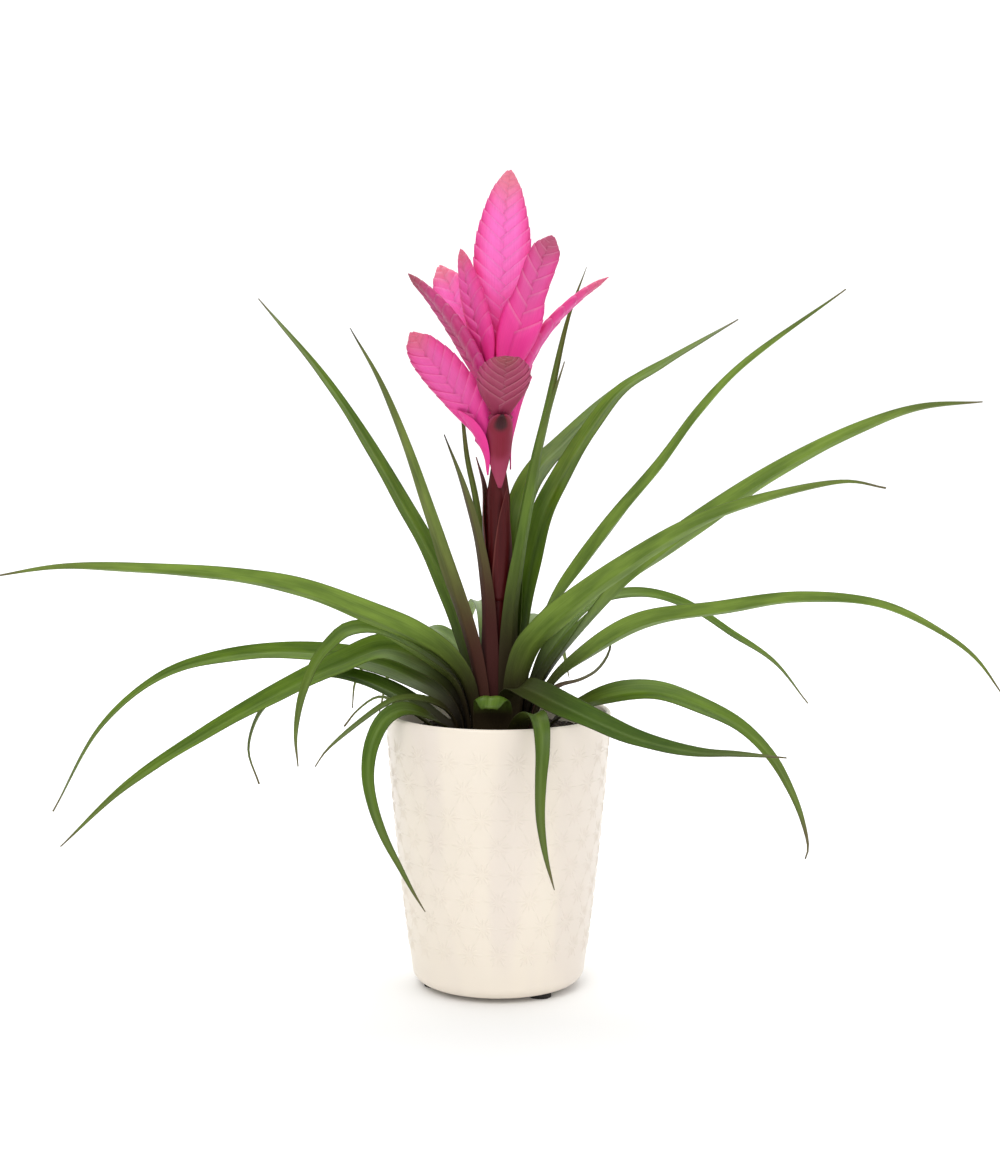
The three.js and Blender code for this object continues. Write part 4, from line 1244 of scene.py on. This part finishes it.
def holder_blade(spike, material):
    """The folded bract that holds a lower spike from outside, its inside painted maroon as
    shade. On the faded spike its back turns maroon, its own colour, and near black up
    at the mouth as painted shadow."""
    holder = spike["holder"]
    route = Route(spike["azimuth"], holder["route"])
    faded = spike.get("look") == "mauve"
    rings = []
    for k in range(BRACT_STEPS + 1):
        t = k / BRACT_STEPS
        # The faded holder's back: maroon, its own colour, then near black at the mouth as painted
        # shadow.
        back = smoothstep(t, *DARK_BACK) + smoothstep(t, *MOUTH_SHADOW) if faded else 0.0
        width = holder["width"] * read_smooth(HOLDER_OUTLINE, t, 0.1)
        ring = []
        for place, own in blade_ring(route.section(t), width, holder["width"] * HOLDER_FOLD,
                                     t * route.length, (1 - t) * route.length,
                                     rib=BRACT_RIB, edge=0.35):
            lane = own["lane"]
            # The inside face is painted maroon as shade.
            maroon_and_shadow = max(own["above"], back * (1 - lane * lane))
            ring.append((place, dict(spike_share=0.35 * t, bract_up=0.8, bract_out=abs(lane),
                                     bract_uv=(lane, t, 0), maroon_and_shadow=maroon_and_shadow)))
        rings.append(ring)
    skin = Skin()
    skin.loft(rings)
    return skin.to_object("holder", material)


def make_spikes(settings):
    # The pink look's line colour and margin give its painted highlight along the margins.
    looks = {"pink": bract_tissue("pink_bract", settings.bract_body, settings.bract_edge,
                                  settings.bract_tip, settings.bract_foot, "#FFA9D8", 0.22)}
    for name, look in BRACT_LOOKS.items():
        looks[name] = bract_tissue(f"{name}_bract", **look)
    trees = {name: spike_tree(f"{name}_spike", widths) for name, widths in SPIKE_OUTLINES.items()}
    for number, spike in enumerate(SPIKES):
        material = looks[spike.get("look", "pink")]
        outline = spike.get("outline", "full")
        blade = grown(route_chain("bracts", spike), trees[outline], {
            "Bracts": 2 * round(spike["bracts"] * FINE_BRACTS),
            "Overlap": BRACTS["overlap"],
            "Width": spike["width"] * MM,
            "Thickness": spike["thickness"] * MM,
            "Stalk": float(spike.get("stalk", 0)),
            "Rise": BRACTS["rise"],
            "Spread": BRACTS["wide_spread"] if outline == "basal" else BRACTS["spread"],
            "Tooth": BRACTS["tooth"],
            "Step": BRACTS["step"],
            "Tip": BRACTS["tip"] * MM,
            "Seed": number,
            "Material": material,
        })
        wall = blade.modifiers.new("wall", "SOLIDIFY")
        wall.thickness = settings.bract_wall
        wall.offset = 0
        parts = [made_plain(blade), spike_core(spike, material)]
        if "holder" in spike:
            parts.append(holder_blade(spike, material))
        settle(joined(f"{spike['name']}_feather", parts), "bract", spike["name"])


# ------------------------------------------------------------------ stage ----


def paper_sweep():
    """White paper that lies flat under the pot and rises in a curve far behind it."""
    half, front, bend, radius, top = 6.0, -6.0, 3.5, 1.5, 5.0
    profile = [(front, 0.0)]
    for k in range(17):
        a = math.pi / 2 * k / 16
        profile.append((bend + radius * math.sin(a), radius * (1 - math.cos(a))))
    profile.append((bend + radius, top))
    points = [(x, y, z) for y, z in profile for x in (-half, half)]
    faces = [(2 * i, 2 * i + 1, 2 * i + 3, 2 * i + 2) for i in range(len(profile) - 1)]
    mesh = bpy.data.meshes.new("studio_floor")
    mesh.from_pydata(points, [], faces)
    mesh.shade_smooth()
    return mesh


def make_stage(settings):
    scene = bpy.context.scene
    scene.view_settings.view_transform = "Standard"
    floor = link_object("studio_floor", paper_sweep())
    material, _tree = new_material("studio_floor_paper")
    surfaced(material, {"Base Color": paint((0.97, 0.97, 0.97)), "Roughness": 1.0})
    floor.data.materials.append(material)

    world = bpy.data.worlds.new("studio")
    world.use_nodes = True
    background = world.node_tree.nodes["Background"]
    background.inputs["Color"].default_value = (1, 1, 1, 1)
    # The room behind the plant shows as white paper, whatever light it gives.
    seen = add(world.node_tree, "ShaderNodeLightPath")["Is Camera Ray"]
    strength = seen * (1.0 - settings.room_light) + settings.room_light
    world.node_tree.links.new(strength.socket, background.inputs["Strength"])
    scene.world = world

    plant, paper = Vector((0, 0, 0.22)), Vector((0, 3.6, 0))
    for name, place, aim, energy, size in (
        ("key_light", (-0.5, -1.6, 1.5), plant, settings.key_light, 1.0),
        ("fill_light", (1.3, -1.0, 0.9), plant, settings.key_light * 0.4, 1.2),
        ("paper_light", (0, 1.4, 2.4), paper, settings.paper_light, 3.0),
    ):
        light = bpy.data.lights.new(name, "AREA")
        light.energy = energy
        light.size = size
        lamp = link_object(name, light)
        lamp.location = place
        lamp.rotation_euler = (aim - lamp.location).to_track_quat("-Z", "Y").to_euler()

    camera = bpy.data.cameras.new("photo_camera")
    camera.sensor_fit = "VERTICAL"
    camera.sensor_height = 36.0
    camera.lens = settings.focal_length
    camera.clip_end = 50.0
    viewer = link_object("photo_camera", camera)
    viewer.location = (0.001, -settings.camera_distance, settings.camera_height)
    viewer.rotation_euler = (math.radians(90 - settings.camera_pitch), 0, 0)
    scene.camera = viewer


# ----------------------------------------------------------------- add-on ----


def colour_property(name, description, hex_colour):
    return bpy.props.FloatVectorProperty(name=name, description=description, subtype="COLOR",
                                         min=0.0, max=1.0, default=linear(hex_colour))


def count_property(name, description, default, least, most):
    return bpy.props.IntProperty(name=name, description=description, default=default,
                                 min=least, max=most)


def amount_property(name, description, default, unit="LENGTH"):
    return bpy.props.FloatProperty(name=name, description=description, default=default, unit=unit)


class PotSettings(bpy.types.PropertyGroup):
    glaze_colour: colour_property("Glaze", "Colour of the glaze where it is thick", "#EFE5D6")
    glaze_shade: colour_property("Glaze shade", "Colour of the slow bands in the glaze", "#E1D6CF")
    star_rows: count_property("Star rows", "Rows of embossed starbursts", 8, 1, 12)
    stars_per_row: count_property("Stars per row", "Starbursts round the pot in one row", 20, 4, 40)
    star_rays: count_property("Rays", "Rays of one starburst", 12, 4, 20)
    first_star_height: amount_property("Lowest row", "Height of the lowest row of stars", 0.031)
    star_row_spacing: amount_property("Row spacing", "Height from row to row", 0.0162)
    star_diameter: amount_property("Star diameter", "Across the longest rays", 0.0185)
    ray_width: amount_property("Ray width", "Greatest width of a ray", 0.0015)
    ray_height: amount_property("Ray height", "How far a ray stands out", 0.00045)


class PlantSettings(bpy.types.PropertyGroup):
    leaf_upper: colour_property("Upper face", "Colour of a leaf's upper face", "#5C7819")
    leaf_under: colour_property("Underside", "Colour of a leaf's underside", "#738C34")
    sheath: colour_property("Sheath", "Colour of a leaf's clasping foot", "#2B210E")
    leaf_tip: colour_property("Leaf tip", "Colour of a leaf's dried point", "#65583F")
    stem_dark: colour_property("Stem", "Dark colour of the flower stem", "#38090C")
    stem_red: colour_property("Stem streak", "Red colour of the flower stem", "#561012")


class FlowerSettings(bpy.types.PropertyGroup):
    bract_body: colour_property("Bract", "Colour in the middle of a spike", "#FF70C6")
    bract_edge: colour_property("Bract edge", "Colour along the edges of a spike", "#F84A9E")
    bract_tip: colour_property("Spike tip", "Colour at the tip of a spike", "#EC7C92")
    bract_foot: colour_property("Spike foot", "Colour at the foot of a spike", "#F0389A")
    bract_wall: amount_property("Bract thickness", "Thickness of one bract", 0.00025)


class StageSettings(bpy.types.PropertyGroup):
    focal_length: amount_property("Focal length", "Lens on a 36 mm high sensor", 74.4, "CAMERA")
    camera_distance: amount_property("Distance", "From the pot's axis to the camera", 1.4)
    camera_height: amount_property("Height", "Height of the camera", 0.411)
    camera_pitch: amount_property("Pitch", "Degrees that the camera looks down", 7.0, "NONE")
    room_light: amount_property("Room light", "Strength of the even light all round", 0.62, "NONE")
    key_light: amount_property("Key light", "Power of the main soft light", 14.0, "POWER")
    paper_light: amount_property("Paper light", "Power of the light on the far paper", 85.0, "POWER")


class BROMELIAD_OT_pot(bpy.types.Operator):
    """Turn the cover pot and emboss its starbursts"""
    bl_idname = "bromeliad.pot"
    bl_label = "Cover pot"

    def execute(self, context):
        make_pot(context.scene.bromeliad_pot)
        return {"FINISHED"}


class BROMELIAD_OT_feet(bpy.types.Operator):
    """Give the pads under the pot their rubber"""
    bl_idname = "bromeliad.feet"
    bl_label = "Rubber pads"

    def execute(self, context):
        dress_feet()
        return {"FINISHED"}


class BROMELIAD_OT_soil(bpy.types.Operator):
    """Fill the pot with peat and scatter its crumbs"""
    bl_idname = "bromeliad.soil"
    bl_label = "Peat"

    def execute(self, context):
        make_soil()
        return {"FINISHED"}


class BROMELIAD_OT_leaves(bpy.types.Operator):
    """Loft the thirty leaves along their routes"""
    bl_idname = "bromeliad.leaves"
    bl_label = "Leaves"

    def execute(self, context):
        make_leaves(context.scene.bromeliad_plant)
        return {"FINISHED"}


class BROMELIAD_OT_stem(bpy.types.Operator):
    """Make the flower stem with its clasping bracts"""
    bl_idname = "bromeliad.stem"
    bl_label = "Flower stem"

    def execute(self, context):
        make_stem(context.scene.bromeliad_plant)
        return {"FINISHED"}


class BROMELIAD_OT_spikes(bpy.types.Operator):
    """Fold the bracts of the twelve flower spikes"""
    bl_idname = "bromeliad.spikes"
    bl_label = "Flower spikes"

    def execute(self, context):
        make_spikes(context.scene.bromeliad_flower)
        return {"FINISHED"}


class BROMELIAD_OT_stage(bpy.types.Operator):
    """Set up the floor, the studio light and the camera"""
    bl_idname = "bromeliad.stage"
    bl_label = "Stage"

    def execute(self, context):
        make_stage(context.scene.bromeliad_stage)
        return {"FINISHED"}


OPERATORS = (BROMELIAD_OT_pot, BROMELIAD_OT_feet, BROMELIAD_OT_soil, BROMELIAD_OT_leaves,
             BROMELIAD_OT_stem, BROMELIAD_OT_spikes, BROMELIAD_OT_stage)

SETTINGS = {
    "bromeliad_pot": PotSettings,
    "bromeliad_plant": PlantSettings,
    "bromeliad_flower": FlowerSettings,
    "bromeliad_stage": StageSettings,
}


class BROMELIAD_PT_panel(bpy.types.Panel):
    """Sizes, colours and the steps that build the plant"""
    bl_label = "Potted bromeliad"
    bl_space_type = "VIEW_3D"
    bl_region_type = "UI"
    bl_category = "Bromeliad"

    def draw(self, context):
        for key, group in SETTINGS.items():
            box = self.layout.box()
            for field in group.__annotations__:
                box.prop(getattr(context.scene, key), field)
        for operator in OPERATORS:
            self.layout.operator(operator.bl_idname)


def register():
    for cls in (*SETTINGS.values(), *OPERATORS, BROMELIAD_PT_panel):
        bpy.utils.register_class(cls)
    for key, group in SETTINGS.items():
        setattr(bpy.types.Scene, key, bpy.props.PointerProperty(type=group))


def unregister():
    for key in SETTINGS:
        delattr(bpy.types.Scene, key)
    for cls in (BROMELIAD_PT_panel, *reversed(OPERATORS), *SETTINGS.values()):
        bpy.utils.unregister_class(cls)


def main():
    register()
    bpy.ops.bromeliad.stage()
    bpy.ops.bromeliad.pot()
    bpy.ops.bromeliad.feet()
    bpy.ops.bromeliad.soil()
    bpy.ops.bromeliad.leaves()
    bpy.ops.bromeliad.stem()
    bpy.ops.bromeliad.spikes()
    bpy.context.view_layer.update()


if __name__ == "__main__":
    main()
